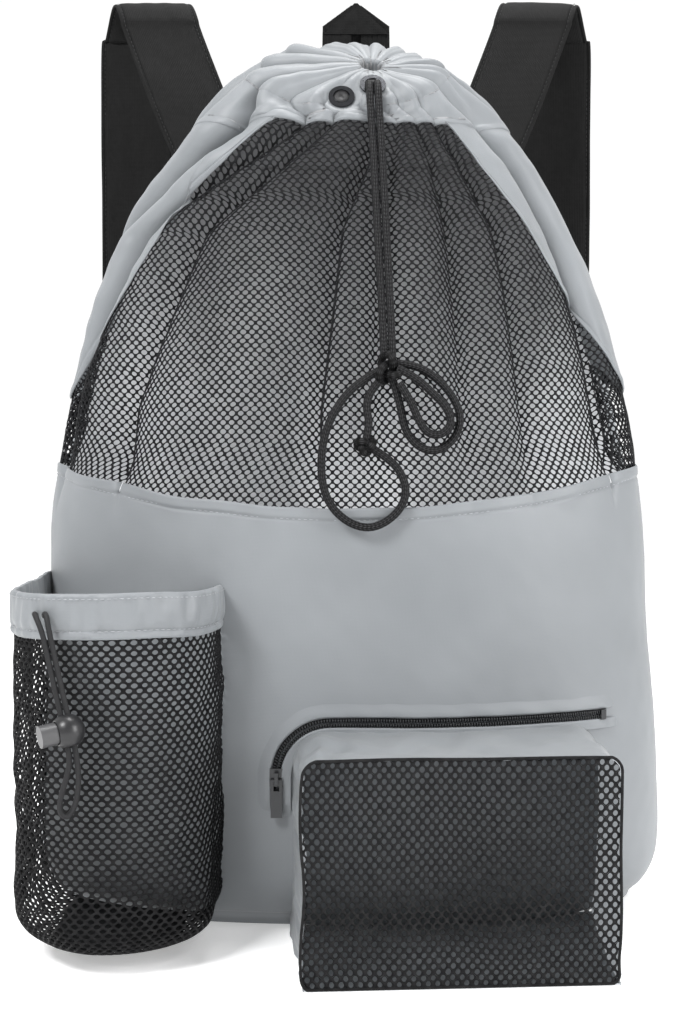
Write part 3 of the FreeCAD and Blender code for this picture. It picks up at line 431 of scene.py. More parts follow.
def eyelet_frame(side):
    """Middle of an eyelet's outer face, its outward axis, two axes across and its hole's radius."""
    thing = frame["nodes"]["eyelet_" + side]
    points = np.array([thing.matrix_world @ v.co for v in thing.data.vertices])
    middle = (points.min(0) + points.max(0)) / 2
    axes = np.linalg.svd(points - points.mean(0), full_matrices=False)[2]
    axis = axes[2] * -np.sign(axes[2][1])
    out = points - middle
    height = out @ axis
    reach = np.linalg.norm(out - height[:, None] * axis, axis=1).min()
    return middle + axis * height.max(), axis, axes[:2], reach


EYELETS = [eyelet_frame(side) for side in ("right", "left")]


def ring_frame(level):
    """Centre of each ring and the direction of its far side, which leans forward near the mouth."""
    tilt = MOUTH_TILT * smoothstep((level - SEAM_LEVEL) / (TILT_LEVEL - SEAM_LEVEL))
    share = smoothstep((level - STRAIGHTEN_BELOW) / (TILT_LEVEL - STRAIGHTEN_BELOW))
    centre = np.stack([MOUTH[0] * share, MOUTH[1] * share, level], -1)
    return centre, np.stack([0 * level, np.cos(tilt), np.sin(tilt)], -1)


def panel_tree():
    """A search tree over the CAD panels' surfaces."""
    points, faces = [], []
    for name in PANELS:
        mesh = frame["nodes"][name].data
        start = len(points)
        points += [tuple(v.co) for v in mesh.vertices]
        faces += [[start + i for i in p.vertices] for p in mesh.polygons]
    return BVHTree.FromPolygons(points, faces)


def measure_form():
    """Radius of the CAD form on a coarse grid of rings and spokes, with small holes bridged."""
    tree = panel_tree()
    levels = np.concatenate([np.linspace(FOOT_LEVEL, 0.03, 10), np.linspace(0.034, 0.44, 84),
                             np.linspace(0.443, TILT_LEVEL, 30)])
    spokes, reach = 180, 0.5
    centre, far = ring_frame(levels)
    radius = np.zeros((len(levels), spokes))
    for j in range(len(levels)):
        origin = Vector(centre[j])
        for i in range(spokes):
            angle = TURN * i / spokes
            way = Vector((math.cos(angle), 0, 0)) + Vector(far[j]) * math.sin(angle)
            hit = tree.ray_cast(origin + way * reach, -way)
            radius[j, i] = reach - hit[3] if hit[0] is not None else np.nan
    middle = np.nanmedian(np.stack([np.roll(radius, k, 1) for k in range(-9, 10)]), axis=0)
    odd = ~np.isfinite(radius) | (np.abs(radius - middle) > 2.5 * MM)
    radius[odd] = middle[odd]
    return levels, blur(radius, 3, True)


def refine(levels, radius):
    """The coarse radii on the fine grid: Fourier across the spokes, cubic between the rings."""
    spectrum = np.fft.rfft(radius, axis=1)
    wide = np.fft.irfft(spectrum, n=SPOKES, axis=1) * SPOKES / radius.shape[1]
    fine = np.concatenate([np.linspace(FOOT_LEVEL, SEAM_LEVEL - 2 * MM, SIDE_RINGS - 100),
                           np.linspace(SEAM_LEVEL - 1.9 * MM, TILT_LEVEL, 100)])
    place = np.interp(fine, levels, np.arange(len(levels)))
    low = np.clip(place.astype(int), 1, len(levels) - 3)
    t = (place - low)[:, None]
    a, b, c, d = (wide[low + k] for k in (-1, 0, 1, 2))
    bend = 2 * a - 5 * b + 4 * c - d + t * (3 * (b - c) + d - a)
    return fine, b + 0.5 * t * (c - a + t * bend)


def dome(ring, share):
    """A ring on the way over the top from the side to the rim, and its reach; share 0 to 1."""
    down = np.array([0, -math.cos(MOUTH_TILT), -math.sin(MOUTH_TILT)])
    top = MOUTH + MOUTH_AXIS * RIM_RISE
    out = ring - top
    height = out @ MOUTH_AXIS
    out = out - height[:, None] * MOUTH_AXIS
    reach = np.linalg.norm(out, axis=1)
    turn = share * math.pi / 2
    closing = reach + (RIM_RADIUS - reach) * (1 - np.cos(turn)) ** 0.9
    rise = height * (1 - np.sin(turn))
    middle = top + down * RIM_SHIFT * share
    return middle + unit(out) * closing[:, None] + rise[:, None] * MOUTH_AXIS, closing


# Creases of the gathered top, by their angle at the mouth, at the channel's seam, in the mesh and
# low down. 0 is the bag's right, 90 behind, 180 left and 270 in front.
CREASES = np.array([
    (175, 180, 181, 181), (203, 210, 190, 184), (222, 238, 204, 192), (238, 251, 222, 212),
    (262, 281, 268, 262), (274, 290, 281, 277), (289, 301, 304, 303), (305, 311, 318, 317),
    (328, 335, 338, 336), (355, 360, 358, 356), (382, 385, 384, 384), (406, 410, 410, 410),
    (430, 432, 432, 432), (450, 450, 450, 450), (472, 468, 468, 468), (493, 490, 490, 490),
    (514, 515, 515, 515)], float)
CREASE_LEVELS = np.array([0.30, 0.40, SEAM_LEVEL, TILT_LEVEL])
FOLD_DEPTH = np.array([0.30, 0.42, 0.42, 0.50])  # of a fold's width, at those levels
FOLDS_END = 0.235
FOLD_GAIN = 0.6 + 0.7 * np.random.default_rng(12).random(len(CREASES))
FOLD_LEAN = np.exp(np.random.default_rng(5).uniform(-0.6, 0.6, len(CREASES)))
FOLD_SIDE = np.random.default_rng(8).random(len(CREASES)) < 0.45


def pleats(levels, angles, radius):
    """Rounded uneven folds between the creases, deepest at the mouth, gone at the lower seam."""
    out = np.zeros_like(radius)
    turn = np.radians(angles)
    behind = smoothstep((np.sin(turn) + 0.15) / 0.3)
    fine = np.sin(31 * turn + 1.3) + 0.8 * np.sin(47 * turn + 0.4) + 0.6 * np.sin(67 * turn)
    for j, level in enumerate(levels):
        creases = np.array([np.interp(level, CREASE_LEVELS, row[::-1]) for row in CREASES])
        creases = np.append(creases, creases[0] + 360)
        spot = (angles - creases[0]) % 360 + creases[0]
        k = np.clip(np.searchsorted(creases, spot, side="right") - 1, 0, len(creases) - 2)
        width = np.radians(creases[k + 1] - creases[k]) * radius[j]
        share = (spot - creases[k]) / (creases[k + 1] - creases[k])
        arch = (1 - np.abs(2 * share ** FOLD_LEAN[k] - 1) ** 2.4) ** 0.75
        share = np.where(FOLD_SIDE[k], 1 - share, share)
        petal = (1 - (1 - share) ** 7) * (1 - 0.75 * share ** 1.3) * 1.25
        arch += (petal - arch) * smoothstep((level - SEAM_LEVEL + 0.01) / 0.02)
        depth = np.interp(level, CREASE_LEVELS, FOLD_DEPTH) * smoothstep((level - FOLDS_END) / 0.06)
        depth = depth * FOLD_GAIN[k] * (1 - behind * (1 - smoothstep((level - 0.45) / 0.04)))
        proud = np.interp(level, [0.40, SEAM_LEVEL], [0.8, 0.62])
        near = smoothstep((level - SEAM_LEVEL - 4 * MM) / 0.02) * radius[j] / (40 * MM)
        out[j] = np.minimum(width * depth, 18 * MM) * (arch - proud) + near * 0.16 * MM * fine
    return out


def close_top(levels, smooth, radius):
    """The rings with those of the dome added above them, eased where the shoulder is sharp."""
    shares = np.arange(1, DOME_RINGS + 1) / DOME_RINGS
    top = [dome(smooth[-1], share) for share in shares]
    smooth = blur(np.concatenate([smooth, np.array([points for points, _ in top])]), 2, True)
    radius = np.concatenate([radius, np.array([reach for _, reach in top])])
    levels = np.concatenate([levels, TILT_LEVEL + (RIM_LEVEL - TILT_LEVEL) * shares])
    soft, window = smooth, 33
    for _ in range(3):
        total = np.cumsum(np.pad(soft, ((17, 16), (0, 0), (0, 0)), "edge"), axis=0)
        soft = (total[window:] - total[:-window]) / window
    rounded = smoothstep((levels - SEAM_LEVEL - 0.001) / 0.006)
    rounded *= 1 - smoothstep((levels - TILT_LEVEL + 0.004) / 0.01)
    facing = smoothstep((0.25 - np.sin(np.arange(SPOKES) * TURN / SPOKES)) / 0.7)
    return levels, smooth + (soft - smooth) * np.outer(rounded, facing)[..., None], radius


def build_form():
    """Levels of the rings and points of the bag's outer surface, folds and slack included."""
    levels, radius = refine(*measure_form())
    angles = np.arange(SPOKES) * 360 / SPOKES
    turn = np.radians(angles)
    centre, far = ring_frame(levels)
    sideways, behind = (v[None, :, None] for v in (np.cos(turn), np.sin(turn)))
    way = sideways * [1, 0, 0] + behind * far[:, None]
    levels, smooth, radius = close_top(levels, centre[:, None] + way * radius[..., None], radius)
    normal = grid_normals(smooth, True)
    height = blur(pleats(levels, angles, radius), 2, True)
    upper = smoothstep((levels - 0.25) / 0.1)[:, None]
    slack = 0.9 * soft_noise(smooth * [1, 1, 0.3], 0.055, 3) * (0.22 + 0.78 * upper)
    slack += 1.2 * soft_noise(smooth * [1, 1, 0.75], 0.11, 5) * (1 - upper)
    slack += 0.22 * soft_noise(smooth, 0.018, 8) * (0.25 + 0.75 * upper)
    held = smoothstep((levels - FOOT_LEVEL) / 0.03)[:, None] * np.ones(SPOKES)
    for middle, axis, _, _ in EYELETS:
        away = smooth - middle
        rise = away @ axis
        aside = np.linalg.norm(away - rise[..., None] * axis, axis=-1)
        near = bell(aside, 12 * MM, 6) * bell(rise, 16 * MM, 6)
        held *= 1 - near
        smooth = smooth + axis * (near * (-1.2 * MM - rise))[..., None]
    x, y, z = np.moveaxis(smooth, -1, 0)
    held *= 1 - 0.92 * bell(z - np.mean(PATCH_Z) * MM, 0.028, 4) * smoothstep(y / 0.03)
    loop_seat = bell(x - LOOP_X, 30 * MM, 4) * bell(z - 0.484, 0.03, 4)
    held *= 1 - 0.95 * loop_seat * smoothstep((y + 0.01) / 0.02)
    return levels, smooth + normal * ((height + slack * MM) * held)[..., None]


LEVELS, FORM = build_form()
FORM_NORMALS = grid_normals(FORM, True)


def row_at(level):
    """The fractional ring of a level."""
    return np.interp(level, LEVELS, np.arange(RINGS))


def bag_frame(angle, level):
    """Points on the bag's surface at angles in degrees and levels in metres, and its normals."""
    row, column = row_at(level), np.asarray(angle) * SPOKES / 360
    return bilinear(FORM, row, column, True), bilinear(FORM_NORMALS, row, column, True)


def on_bag(angle, level, lift=0.0):
    """Points lifted off the bag's surface."""
    point, normal = bag_frame(angle, level)
    return point + normal * np.asarray(lift)[..., None]


# ---- Cords: the routes are the CAD routes, and the braid follows each NURBS line ---------------
CORD = 4.4 * MM
ELASTIC = 3.0 * MM
RUN_LEFT = [
    (12.2, -61, 482.2), (12.2, -70, 486.6), (12.4, -77.5, 482), (13.2, -82, 467),
    (14.4, -88, 445), (15.6, -94, 418), (17, -100, 388), (18.6, -105, 357), (19.6, -108, 336),
    (20, -110, 326)]
RUN_RIGHT = [
    (16.8, -61, 482.4), (16.9, -70.5, 487), (17.2, -78, 482), (17.8, -82.5, 467),
    (19.1, -88.5, 444), (20.4, -94.5, 417), (21.8, -100.5, 388), (23.2, -105.5, 357),
    (24.2, -108.5, 336), (24.4, -110, 326)]
TAIL_LOOP = [
    (17, -112, 318), (8, -112, 313), (-2, -112, 304), (-9, -112.5, 293), (-13.5, -113, 281),
    (-15, -113.5, 267), (-14, -114, 254), (-9, -114.5, 242), (2, -115.5, 233), (14, -116, 231),
    (26, -116, 238), (32.5, -115.5, 249), (30, -115.5, 261), (22, -115, 270), (12, -115, 276)]
TAIL_SHORT = [
    (18, -112, 313), (11.5, -111.5, 306), (10, -112, 297), (12, -113, 289), (10, -114, 280)]
BOW_OUTER = [
    (27, -111.5, 322), (38, -111, 321), (49, -110.5, 314), (58, -110, 304), (63, -110, 292),
    (59, -110.5, 280), (49, -111, 273), (38, -111.5, 276), (31, -111.5, 286), (29, -112, 298),
    (26, -112, 309), (24, -112, 314)]
BOW_INNER = [
    (27, -115, 319), (36, -115.5, 315), (46, -115, 306), (54, -114.5, 298), (57.5, -114.5, 289),
    (51, -115, 282), (43, -115.5, 283.5), (38, -116, 292), (34, -116.5, 302), (28, -116, 311)]
ELASTIC_LINE = [
    (-161.5, -163.7, 187.5), (-161.5, -168.7, 190.3), (-159.5, -175.5, 189.5), (-155.5, -179, 182),
    (-152.9, -180.5, 172.5), (-148.8, -183.9, 156), (-143.7, -187.1, 137), (-139.1, -190.8, 119),
    (-141.5, -190, 109), (-145, -187.5, 99), (-146, -185.5, 91), (-142, -184.5, 88), (-138, -185.5, 94),
    (-135.5, -188, 105), (-135.6, -190.8, 119), (-140.3, -187.1, 137), (-145.2, -183.9, 156),
    (-149.5, -180.5, 172.5), (-151.9, -179, 182.2), (-153.8, -176, 190), (-156, -171.5, 190.3),
    (-156.2, -167.6, 187.5)]
MAIN_KNOT = np.array([22.3, -112.5, 319]) * MM
STOPPER_KNOT = np.array([9.5, -115, 276.5]) * MM


def nurbs_line(points, step):
    """Evenly spaced points along the smooth NURBS line through a cord's route in millimetres."""
    curve = bpy.data.curves.new("route", "CURVE")
    curve.dimensions = "3D"
    spline = curve.splines.new("NURBS")
    spline.points.add(len(points) - 1)
    for place, (x, y, z) in zip(spline.points, points):
        place.co = (x * MM, y * MM, z * MM, 1)
    spline.order_u = 3
    spline.use_endpoint_u = True
    curve.resolution_u = 24
    thing = bpy.data.objects.new("route", curve)
    mesh = bpy.data.meshes.new_from_object(thing)
    line = np.array([v.co for v in mesh.vertices])
    bpy.data.objects.remove(thing)
    bpy.data.curves.remove(curve)
    bpy.data.meshes.remove(mesh)
    return resample(line, step)


def travel(grid, axis=0):
    """Distance travelled from the start along one axis of an array of points."""
    steps = np.linalg.norm(np.diff(grid, axis=axis), axis=-1)
    return np.insert(np.cumsum(steps, axis), 0, 0, axis)


def at_places(places, distance, values):
    """Every column of values, read at places along a distance."""
    return np.stack([np.interp(places, distance, column) for column in values.T], -1)


def resample(line, step):
    """The same polyline with evenly spaced points."""
    length = travel(line)
    count = max(int(round(length[-1] / step)), 2)
    return at_places(np.linspace(0, length[-1], count + 1), length, line)


def line_frames(line, first=(0, 0, 1), closed=False):
    """Tangent and two cross directions along a polyline, turning as little as possible."""
    ahead = np.roll(line, -1, 0) - np.roll(line, 1, 0) if closed else np.gradient(line, axis=0)
    tangent = unit(ahead)
    side = np.zeros_like(line)
    current = np.array(first, float)
    for i, t in enumerate(tangent):
        current = current - t * (current @ t)
        if np.linalg.norm(current) < 1e-6:
            current = np.cross(t, (0.3, 0.9, 0.1))
        current /= np.linalg.norm(current)
        side[i] = current
    return tangent, side, np.cross(tangent, side)


def tube(name, line, radius, around, material, relief, first, squeeze=(1, 1), closed=False):
    """A closed round tube along a line; relief gives extra radius over (distance, turn) arrays."""
    _, side, other = line_frames(line, first, closed)
    turn = np.arange(around) * TURN / around
    lift = relief(travel(line)[:, None], turn[None])
    r = radius + lift
    grid = (line[:, None] + side[:, None] * (r * np.cos(turn) * squeeze[0])[..., None]
            + other[:, None] * (r * np.sin(turn) * squeeze[1])[..., None])
    points = grid.reshape(-1, 3)
    faces = grid_faces(len(line), around, True)[:, ::-1].tolist()
    if closed:
        last = (len(line) - 1) * around
        after = [(i + 1) % around for i in range(around)]
        faces += [[i, k, last + k, last + i] for i, k in enumerate(after)]
    else:
        faces += [list(range(around)), list(range(len(points) - 1, len(points) - around - 1, -1))]
    thing = add_mesh(name, points, faces, materials[material])
    # the relief is stored on the points; the cord's material paints highlights and shade from it
    mark = thing.data.attributes.new("relief", "FLOAT", "POINT")
    span = max(float(np.ptp(lift)), 1e-9)
    mark.data.foreach_set("value", ((lift - lift.min()) / span).ravel().astype(np.float32))
    return thing


def braid(distance, turn):
    """Relief of a plaited cord: columns of slanted stitches that lean alternately up and down."""
    columns, stitch = 12, 2.3 * MM
    place = turn * columns / TURN
    column = np.floor(place)
    across = place - column
    slant = np.where(column % 2 == 0, across, 1 - across)
    wave_height = np.abs(np.sin(math.pi * (distance / stitch + slant * 0.95)))
    return 0.30 * MM * (wave_height ** 0.8 * (1 - np.abs(2 * across - 1) ** 5) - 0.75)


def ribbed(distance, turn):
    """Relief of covered elastic: fine ribs along it with a slight cross weave."""
    weave = 0.75 + 0.25 * np.sin(distance / (0.9 * MM) * math.pi)
    return 0.10 * MM * (np.cos(turn * 8) * weave - 1)


def build_cord(name, route, far_end, kind, diameter, relief, step, around, **facts):
    """One cord of the CAD model as a braided tube that follows its NURBS line."""
    line = nurbs_line(route, step)
    piece = tube(name + "_braid", line, diameter / 2, around, kind, relief, (0, 1, 0.2))
    attach(piece, kind + "_black", name)
    [v * MM for v in route[0]]
    travel(line)[-1]


def turned(angle):
    """Matrix that turns rows of points about the Y axis."""
    c, s = math.cos(angle), math.sin(angle)
    return np.array([[c, 0, -s], [0, 1, 0], [s, 0, c]])


def knot_tube(name, centre, lean, size, turns, cad_node):
    """A tight overhand knot: one cord wound into a trefoil, with the wanted overall size."""
    t = np.linspace(0, TURN, 220, endpoint=False)
    line = np.stack([np.sin(t) + 2 * np.sin(2 * t), 0.9 * -np.sin(3 * t),
                     np.cos(t) - 2 * np.cos(2 * t)], -1) @ turned(turns)
    reach = np.abs(line).max(0)
    line = line / reach * (np.array(size) / 2 - CORD / 2 * 0.98)
    line = line @ turned(lean) + centre
    line = resample(np.concatenate([line, line[:1]]), 0.4 * MM)[:-1]
    piece = tube(name, line, CORD / 2, 24, "cord", braid, (0, 1, 0.2), closed=True)
    attach(piece, "cord_black", cad_node)


def build_cords():
    """The drawcord's runs, bow and tails, its two knots, and the elastic tail."""
    drawcord = {"drawcord_run_left": RUN_LEFT, "drawcord_run_right": RUN_RIGHT,
                "drawcord_tail_loop": TAIL_LOOP, "drawcord_tail_short": TAIL_SHORT,
                "drawcord_bow_outer": BOW_OUTER, "drawcord_bow_inner": BOW_INNER}
    for name, route in drawcord.items():
        build_cord(name, route, "knot", "cord", CORD, braid, 0.32 * MM, 36)
    knot_tube("main_knot", MAIN_KNOT, math.radians(12), (17.5 * MM, 14 * MM, 19 * MM), 0.5,
              "drawcord_knot_main")
    knot_tube("stopper_knot", STOPPER_KNOT, math.radians(-8), (13 * MM, 10 * MM, 12 * MM), 0.0,
              "drawcord_knot_stopper")
    build_cord("elastic_tail", ELASTIC_LINE, "object", "elastic", ELASTIC, ribbed, 0.5 * MM, 32,
               with_pieces=["cord_lock_body", "cord_lock_plunger"])


# ---- Open-mesh fabric: every hole is cut in real geometry --------------------------------------
def net_cells(width, height, pitch, row_step):
    """Centres of a staggered lattice over a flat rectangle: x from -width/2, y from 0."""
    rows = int(height / row_step) + 2
    columns = int(width / pitch) + 2
    j, i = np.mgrid[0:rows, 0:columns]
    x = (i - columns // 2 + 0.5 * (j % 2)) * pitch
    return np.stack([x.ravel(), (j * row_step).ravel()], -1)


def net_outline(pitch, row_step, hole):
    """Twelve points of one cell's outline, which tiles the lattice, and of its oval hole."""
    half = pitch / 2
    slope = row_step * 0.3
    low, high, tip = row_step / 2 - slope, row_step / 2 + slope, 0
    corners = np.array([(half, -low), (half, low), (tip, high), (-half, low), (-half, -low),
                        (tip, -high)])
    outline = []
    for start, end in zip(corners, np.roll(corners, -1, 0)):
        outline += [start, (start + end) / 2]
    outline = np.array(outline)
    turn = np.arctan2(outline[:, 1] / row_step, outline[:, 0] / pitch)
    oval = np.stack([hole[0] / 2 * np.cos(turn), hole[1] / 2 * np.sin(turn)], -1)
    return outline, oval


def build_net(name, cells, outline, oval, place, yarn, material, seed):
    """A net over cells kept from the lattice; place maps flat points and a lift to positions."""
    rng = np.random.default_rng(seed)
    jitter = 0.1 * MM
    drift = 0.35 * jitter / MM
    count, corners = len(cells), len(outline)
    outer = cells[:, None] + outline
    keys = np.round(outer.reshape(-1, 2) / (0.05 * MM)).astype(np.int64)
    _, first, inverse = np.unique(keys, axis=0, return_index=True, return_inverse=True)
    shared = outer.reshape(-1, 2)[first]
    shared = shared + rng.normal(0, jitter, shared.shape) * 0.6
    inverse = inverse.reshape(count, corners)
    scale = 1 + rng.normal(0, 0.05, (count, 1, 1))
    inner = cells[:, None] + oval * scale + rng.normal(0, jitter * drift, (count, 1, 2))
    inner = inner.reshape(-1, 2)
    top = place(shared, np.full(len(shared), yarn * 0.5))
    ring = place(inner, np.full(len(inner), -yarn * 0.25))
    deep = place(inner, np.full(len(inner), -yarn * 0.9))
    points = np.concatenate([top, ring, deep])
    base, base2 = len(top), len(top) + count * corners
    k = np.arange(corners)
    after = (k + 1) % corners
    ids = base + np.arange(count)[:, None] * corners
    ids2 = base2 + np.arange(count)[:, None] * corners
    front = np.stack([inverse[:, k], inverse[:, after], ids + after, ids + k], -1)
    wall = np.stack([ids + k, ids + after, ids2 + after, ids2 + k], -1)
    faces = np.concatenate([front.reshape(-1, 4), wall.reshape(-1, 4)])
    return add_mesh(name, points, faces, materials[material])


# ---- The bag's panels --------------------------------------------------------------------------
MESH_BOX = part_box("mesh_panel")
SEAM_LOW = MESH_BOX[0][2]
SEAM_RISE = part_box("front_panel")[1][2] - SEAM_LOW
BASE_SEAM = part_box("base_panel")[1][2]
HALF_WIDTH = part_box("front_panel")[1][0]
SEAM_RADIUS = (HALF_WIDTH ** 2 + SEAM_RISE ** 2) / (2 * SEAM_RISE)
STRIP_EDGE = np.array([(-172, 300), (-93, 421), (-40, 462), (56, 462), (100, 404), (172, 300)]) * MM


def crossing(level_at):
    """For every spoke, the lowest level at which the surface passes level_at(x) of its place."""
    gap = LEVELS[:, None] - level_at(FORM[..., 0])
    above = gap > 0
    row = np.clip(np.argmax(above, axis=0), 1, RINGS - 1)
    spoke = np.arange(SPOKES)
    low, high = gap[row - 1, spoke], gap[row, spoke]
    share = np.clip(low / (low - high), 0, 1)
    level = LEVELS[row - 1] + share * (LEVELS[row] - LEVELS[row - 1])
    return np.where(above.any(0), level, LEVELS[-1])


def arc_seam(x):
    """Height of the curved seam between the lower panel and the mesh."""
    reach = np.minimum(np.abs(x), HALF_WIDTH)
    return SEAM_LOW + SEAM_RADIUS - np.sqrt(SEAM_RADIUS ** 2 - reach ** 2)


def strip_seam(x):
    """Height of the seam between the mesh and the side strips or the gathered channel."""
    return np.interp(x, STRIP_EDGE[:, 0], STRIP_EDGE[:, 1])


def ripple(angle, seed, wavelength=7.0):
    """A small irregular waviness along a seam, by angle in degrees."""
    rng = np.random.default_rng(seed)
    total = np.zeros(np.shape(angle))
    for _ in range(7):
        total = total + np.sin(np.radians(angle) * 150 / wavelength * rng.uniform(0.5, 1.4)
                               + rng.uniform(0, TURN))
    return total / 2.6


SEAM_AT = blur(crossing(arc_seam)[None].repeat(3, 0), 3, True)[1]
STRIP_AT = np.minimum(crossing(strip_seam), SEAM_LEVEL)


def by_angle(table, angle):
    """A per-spoke table read at any angle in degrees."""
    column = (np.asarray(angle) % 360) * SPOKES / 360
    low = column.astype(int) % SPOKES
    share = column - np.floor(column)
    return table[low] * (1 - share) + table[(low + 1) % SPOKES] * share


def hem_lift(distance, angle, width, seed):
    """Lift of a folded hem near an edge: double cloth, a stitched groove and small puckers."""
    fold = 0.7 * MM * smoothstep((width + 1.2 * MM - distance) / (2 * MM))
    groove = -0.55 * MM * bell(distance - width, 1.1 * MM)
    pucker = 0.42 * MM * ripple(angle, seed, 4.5) * bell(distance - width * 0.9, 5 * MM)
    roll = -0.6 * MM * smoothstep(1 - distance / (1.0 * MM))
    return fold + groove + pucker + roll


def panel_grid(angles, low, high, rows, lift, edge_rows=0):
    """Points of a panel between two levels per angle, and their distances along and up it.

    lift takes the distance from the top edge, from the bottom edge, and the angle.
    """
    share = np.linspace(0, 1, rows)
    if edge_rows:
        share = np.sort(np.concatenate([share, 1 - np.linspace(0, 1, edge_rows) ** 1.3 * 0.12]))
    level = low + (high - low) * share[:, None] + 0 * angles
    angle = np.broadcast_to(angles, level.shape)
    grid = on_bag(angle, level)
    run, rise = travel(grid, 1), travel(grid, 0)
    return on_bag(angle, level, lift(rise[-1] - rise, rise, angle)), np.stack([run, rise], -1)


def stitches(name, line, normals, material):
    """A row of small stitches along a line on a surface, sunk a little at their ends."""
    length, gap, thick = 2.3 * MM, 1.0 * MM, 0.42 * MM
    distance = travel(line)
    count = int(distance[-1] / (length + gap))
    starts = (np.arange(count) + 0.5) * (length + gap)
    around, rings = 6, 5
    points, faces = [], []
    share = np.linspace(-0.5, 0.5, rings)
    for start in starts:
        places = start + share * length
        core, up = at_places(places, distance, line), at_places(places, distance, normals)
        side = np.cross(unit(core[-1] - core[0]), up)
        bow = np.cos(share * math.pi)
        core = core + up * (thick * (0.75 * bow - 0.35))[:, None]
        radius = thick / 2 * np.sqrt(np.clip(bow, 0.05, 1))
        turn = np.arange(around) * TURN / around
        ring = (core[:, None] + side[:, None] * (np.cos(turn)[None] * radius[:, None])[..., None]
                + up[:, None] * (np.sin(turn)[None] * radius[:, None])[..., None])
        base = len(points) * rings * around
        points.append(ring.reshape(-1, 3))
        faces.append(grid_faces(rings, around, True) + base)
    return add_mesh(name, np.concatenate(points), np.concatenate(faces), materials[material])


def stitch_on_bag(name, angles, level, lift):
    """Grey stitches along a level line of the bag."""
    place, normals = bag_frame(angles, level)
    attach(stitches(name, place + normals * lift, normals, "thread"), "fabric_grey")


def build_lower_panel():
    """Grey front panel: slack cloth with a turned and stitched upper edge."""
    angles = np.linspace(180, 360, 721)
    high = by_angle(SEAM_AT, angles) + 0.5 * MM * ripple(angles, 4, 12)
    width = 6.6 * MM
    grid, uv = panel_grid(
        angles, BASE_SEAM, high, 300,
        lambda top, bottom, angle: 0.9 * MM + hem_lift(top, angle, width, 2), edge_rows=60)
    grey_cloth("lower_panel", grid, 0.7 * MM, "front_panel", inside="lining", uv=uv)
    inner = angles[4:-4]
    stitch_on_bag("lower_panel_stitches", inner, by_angle(SEAM_AT, inner) - width, 0.75 * MM)


def build_back_and_strips():
    """Grey back panel, with the strips that come round to the front beside the mesh."""
    grid, uv = panel_grid(np.linspace(0, 180, 541), BASE_SEAM, SEAM_LEVEL, 320,
                          lambda top, bottom, angle: 0.9 * MM)
    grey_cloth("back_cloth", grid, 0.7 * MM, "back_panel", inside="lining", uv=uv)
    for side, start, end, seed in (("left", 180.0, 270.0, 11), ("right", 270.0, 360.0, 12)):
        angles = np.linspace(start, end, 481)
        edge = by_angle(STRIP_AT, angles)
        inside = edge < SEAM_LEVEL - 0.3 * MM
        angles, edge = angles[inside], edge[inside]
        wavy = np.minimum(edge + 0.5 * MM * ripple(angles, seed, 10), SEAM_LEVEL - 0.2 * MM)
        grid, uv = panel_grid(
            angles, wavy, SEAM_LEVEL, 150,
            lambda top, bottom, angle: 0.9 * MM + hem_lift(bottom, angle, 6 * MM, seed))
        grey_cloth("strip_" + side, grid, 0.7 * MM, uv=uv)


def build_base():
    """Grey base: the flat foot and its low wall up to the base seam."""
    angles = np.linspace(0, 360, 721)[:-1]
    rings = []
    outer = on_bag(angles, FOOT_LEVEL)
    for share in np.linspace(0, 1, 40) ** 0.7:
        flat = outer * [share, share, 0] + [0, 0, 0.7 * MM]
        flat[:, 2] += 1.2 * MM * smoothstep((share - 0.93) / 0.07) ** 2
        rings.append(flat)
    for level in np.linspace(FOOT_LEVEL, BASE_SEAM + 1.5 * MM, 14)[1:]:
        rings.append(on_bag(angles, level, 0.6 * MM))
    grid = np.array(rings)
    grid[0] = grid[0].mean(0)
    grid[..., 2] = np.maximum(grid[..., 2], 0.7 * MM)
    grey_cloth("base_cloth", grid, 0.6 * MM, "base_panel", inside="lining", uv=grid[..., :2],
               wrap=True)


def build_channel():
    """The gathered channel: lobed cloth that runs up over the cord and rolls into the mouth."""
    angles = np.arange(SPOKES) * 360 / SPOKES
    levels = np.concatenate([np.linspace(SEAM_LEVEL - 1 * MM, SEAM_LEVEL + 4 * MM, 14),
                             np.linspace(SEAM_LEVEL + 4.3 * MM, TILT_LEVEL, 110),
                             LEVELS[SIDE_RINGS:]])
    rings = []
    for level in levels:
        distance = level - SEAM_LEVEL + 1 * MM
        fold = 1.5 * MM - 1.1 * MM * smoothstep(1 - distance / (0.9 * MM))
        pucker = 0.2 * MM * ripple(angles, 21, 5) * bell(distance - 3 * MM, 4 * MM)
        free = np.ones(len(angles))
        place = on_bag(angles, level)
        for middle, _, _, _ in EYELETS:
            free *= 1 - bell(np.linalg.norm(place - middle, axis=-1), 11 * MM, 6)
        x, y, z = place.T
        seat = bell(x - LOOP_X, 29 * MM, 6) * bell(z - 0.485, 20 * MM, 6)
        free *= 1 - seat * smoothstep(y / (10 * MM))
        rings.append(on_bag(angles, level, (fold + pucker) * free - 0.4 * MM * (1 - free)))
    outer = np.array(rings)
    rim = outer[-1]
    middle = rim.mean(0)
    out = rim - middle
    out -= (out @ MOUTH_AXIS)[:, None] * MOUTH_AXIS
    roll = 2.4 * MM
    tail = []
    for turn in np.linspace(0, math.pi / 2, 12)[1:]:
        over = unit(out) * math.sin(turn) + MOUTH_AXIS * (1 - math.cos(turn))
        tail.append(rim - over * roll)
    last = tail[-1]
    for step in range(1, 24):
        shrink = 1 - 0.25 * smoothstep(step / 12)
        centre = last.mean(0)
        tail.append(centre + (last - centre) * shrink - MOUTH_AXIS * (1.2 * MM * step))
    grid = np.concatenate([outer, np.array(tail)])
    uv = spread(np.linspace(0, 0.34, SPOKES), np.arange(len(grid))[:, None] * 0.5 * MM)
    grey_cloth("channel_cloth", grid, 0.4 * MM, "drawcord_channel", "drawcord_in_channel",
               inside="lining", uv=uv, wrap=True)


